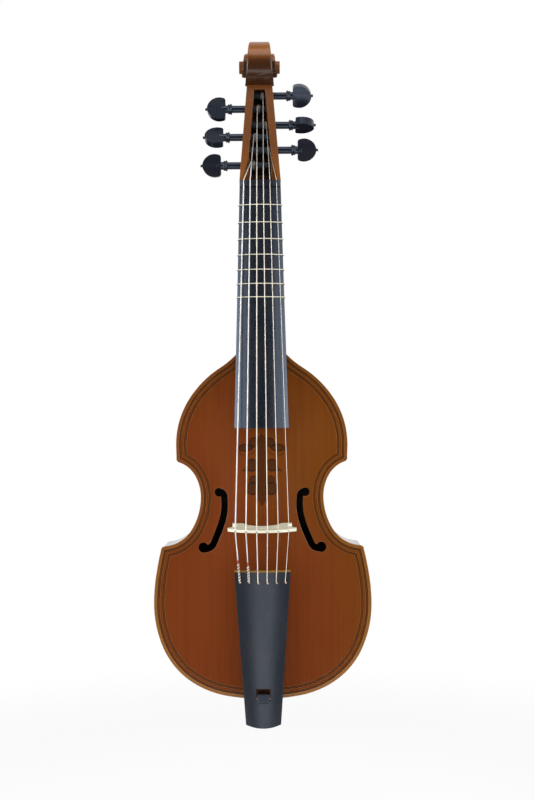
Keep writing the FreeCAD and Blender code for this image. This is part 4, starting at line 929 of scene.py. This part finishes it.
# %% Mark the notches and tie the knots
# Painted shadow: a dark sleeve where each string crosses the bridge.
graphite = gut_finish("graphite", colour(0.05, 0.05, 0.045))
for number in range(1, 7):
    ends = string_way(number)
    notch = start("cylinder", f"notch_{number}", vertices=16, radius=thickness(number) + SILK_OVER,
                  depth=0.0012, location=at_level(ends, -0.0006))
    close(notch, graphite)
pale_knot = gut_finish("pale_knot", colour(0.40, 0.36, 0.30))
for number in range(1, 5):
    ends = string_way(number)
    knot = start("uv_sphere", f"knot_{number}", segments=16, ring_count=10, radius=0.0008,
                 location=ends[1] + Vector((0.0006, 0.0, -0.0008)))
    close(knot, pale_knot)
print("six notches and four knots")

# %% [markdown]
# The hook bar ends in a block with four broad facets that catch the light. Its bar is a plain
# box, and both stand for the CAD piece.

# %% Cut the facets of the hook
HOOK_WIDTH = 0.0126
BAR_MIDDLE = (0, -0.03775, -0.1715)
HEAD_MIDDLE = (0, -0.07025, -0.1723)
HEAD_FRONT = -0.0729
hook_bar = start("cube", "hook_bar", size=1, location=BAR_MIDDLE)
bpy.ops.transform.resize(value=(HOOK_WIDTH, 0.0595, 0.0060), center_override=BAR_MIDDLE)
hook_bar = close(hook_bar, tail_ebony, smooth=0)
hook_head = start("cube", "hook_head", size=1, location=HEAD_MIDDLE)
bpy.ops.transform.resize(value=(HOOK_WIDTH, 0.0055, 0.0092), center_override=HEAD_MIDDLE)
pick("FACE", lambda at: at.y < HEAD_FRONT)
bpy.ops.mesh.inset(thickness=0.0024, depth=0)
bpy.ops.mesh.select_mode(type="VERT")
pick("VERT", lambda at: at.y < HEAD_FRONT and (abs(at.x) > 0.0055 or abs(at.z - HEAD_MIDDLE[2]) > 0.0040))
bpy.ops.transform.translate(value=(0, 0.0022, 0))
hook_head = close(hook_head, peg_ebony, smooth=0)
for piece in (hook_bar, hook_head):
    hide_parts("tail_hook")
print("hook facets:", len(hook_head.data.polygons), "faces")

# %% [markdown]
# The floor lies well below the hanging viol. It is white to the eye, and keeps a soft shadow.

# %% Lay the floor
FLOOR_SIZE = 8
FLOOR_PLACE = (0, 3.75, -0.36)
bpy.ops.object.select_all(action="DESELECT")
bpy.ops.mesh.primitive_plane_add(size=FLOOR_SIZE, location=FLOOR_PLACE)
floor = bpy.context.object
floor.name = "floor"
paper = Finish("floor_paper")
x, y, _ = paper.place()
from_object = y + FLOOR_PLACE[1]
far = ((x * x + from_object * from_object) ** 0.5).ramp(0.25, 0.9)
tone = paper.blend(far, colour(0.9, 0.9, 0.9), colour(0, 0, 0))
paper.set(Base_Color=tone, Roughness=0.9, Specular_IOR_Level=0.0)
glow = paper.node("ShaderNodeEmission", None, {"Color": colour(1, 1, 1), "Strength": 1.0})
seen = paper.node("ShaderNodeLightPath", output="Is Camera Ray")
factor = seen * far.ramp(0, 1, 0.85, 1.0, False)
matt = Wire(paper, paper.shader.outputs[0])
mixed = paper.node("ShaderNodeMixShader", None, {0: factor, 1: matt, 2: glow})
paper.plug(paper.tree.nodes["Material Output"].inputs[0], mixed)
floor.data.materials.append(paper.material)
print("floor", -FLOOR_PLACE[2], "m under the bridge line")
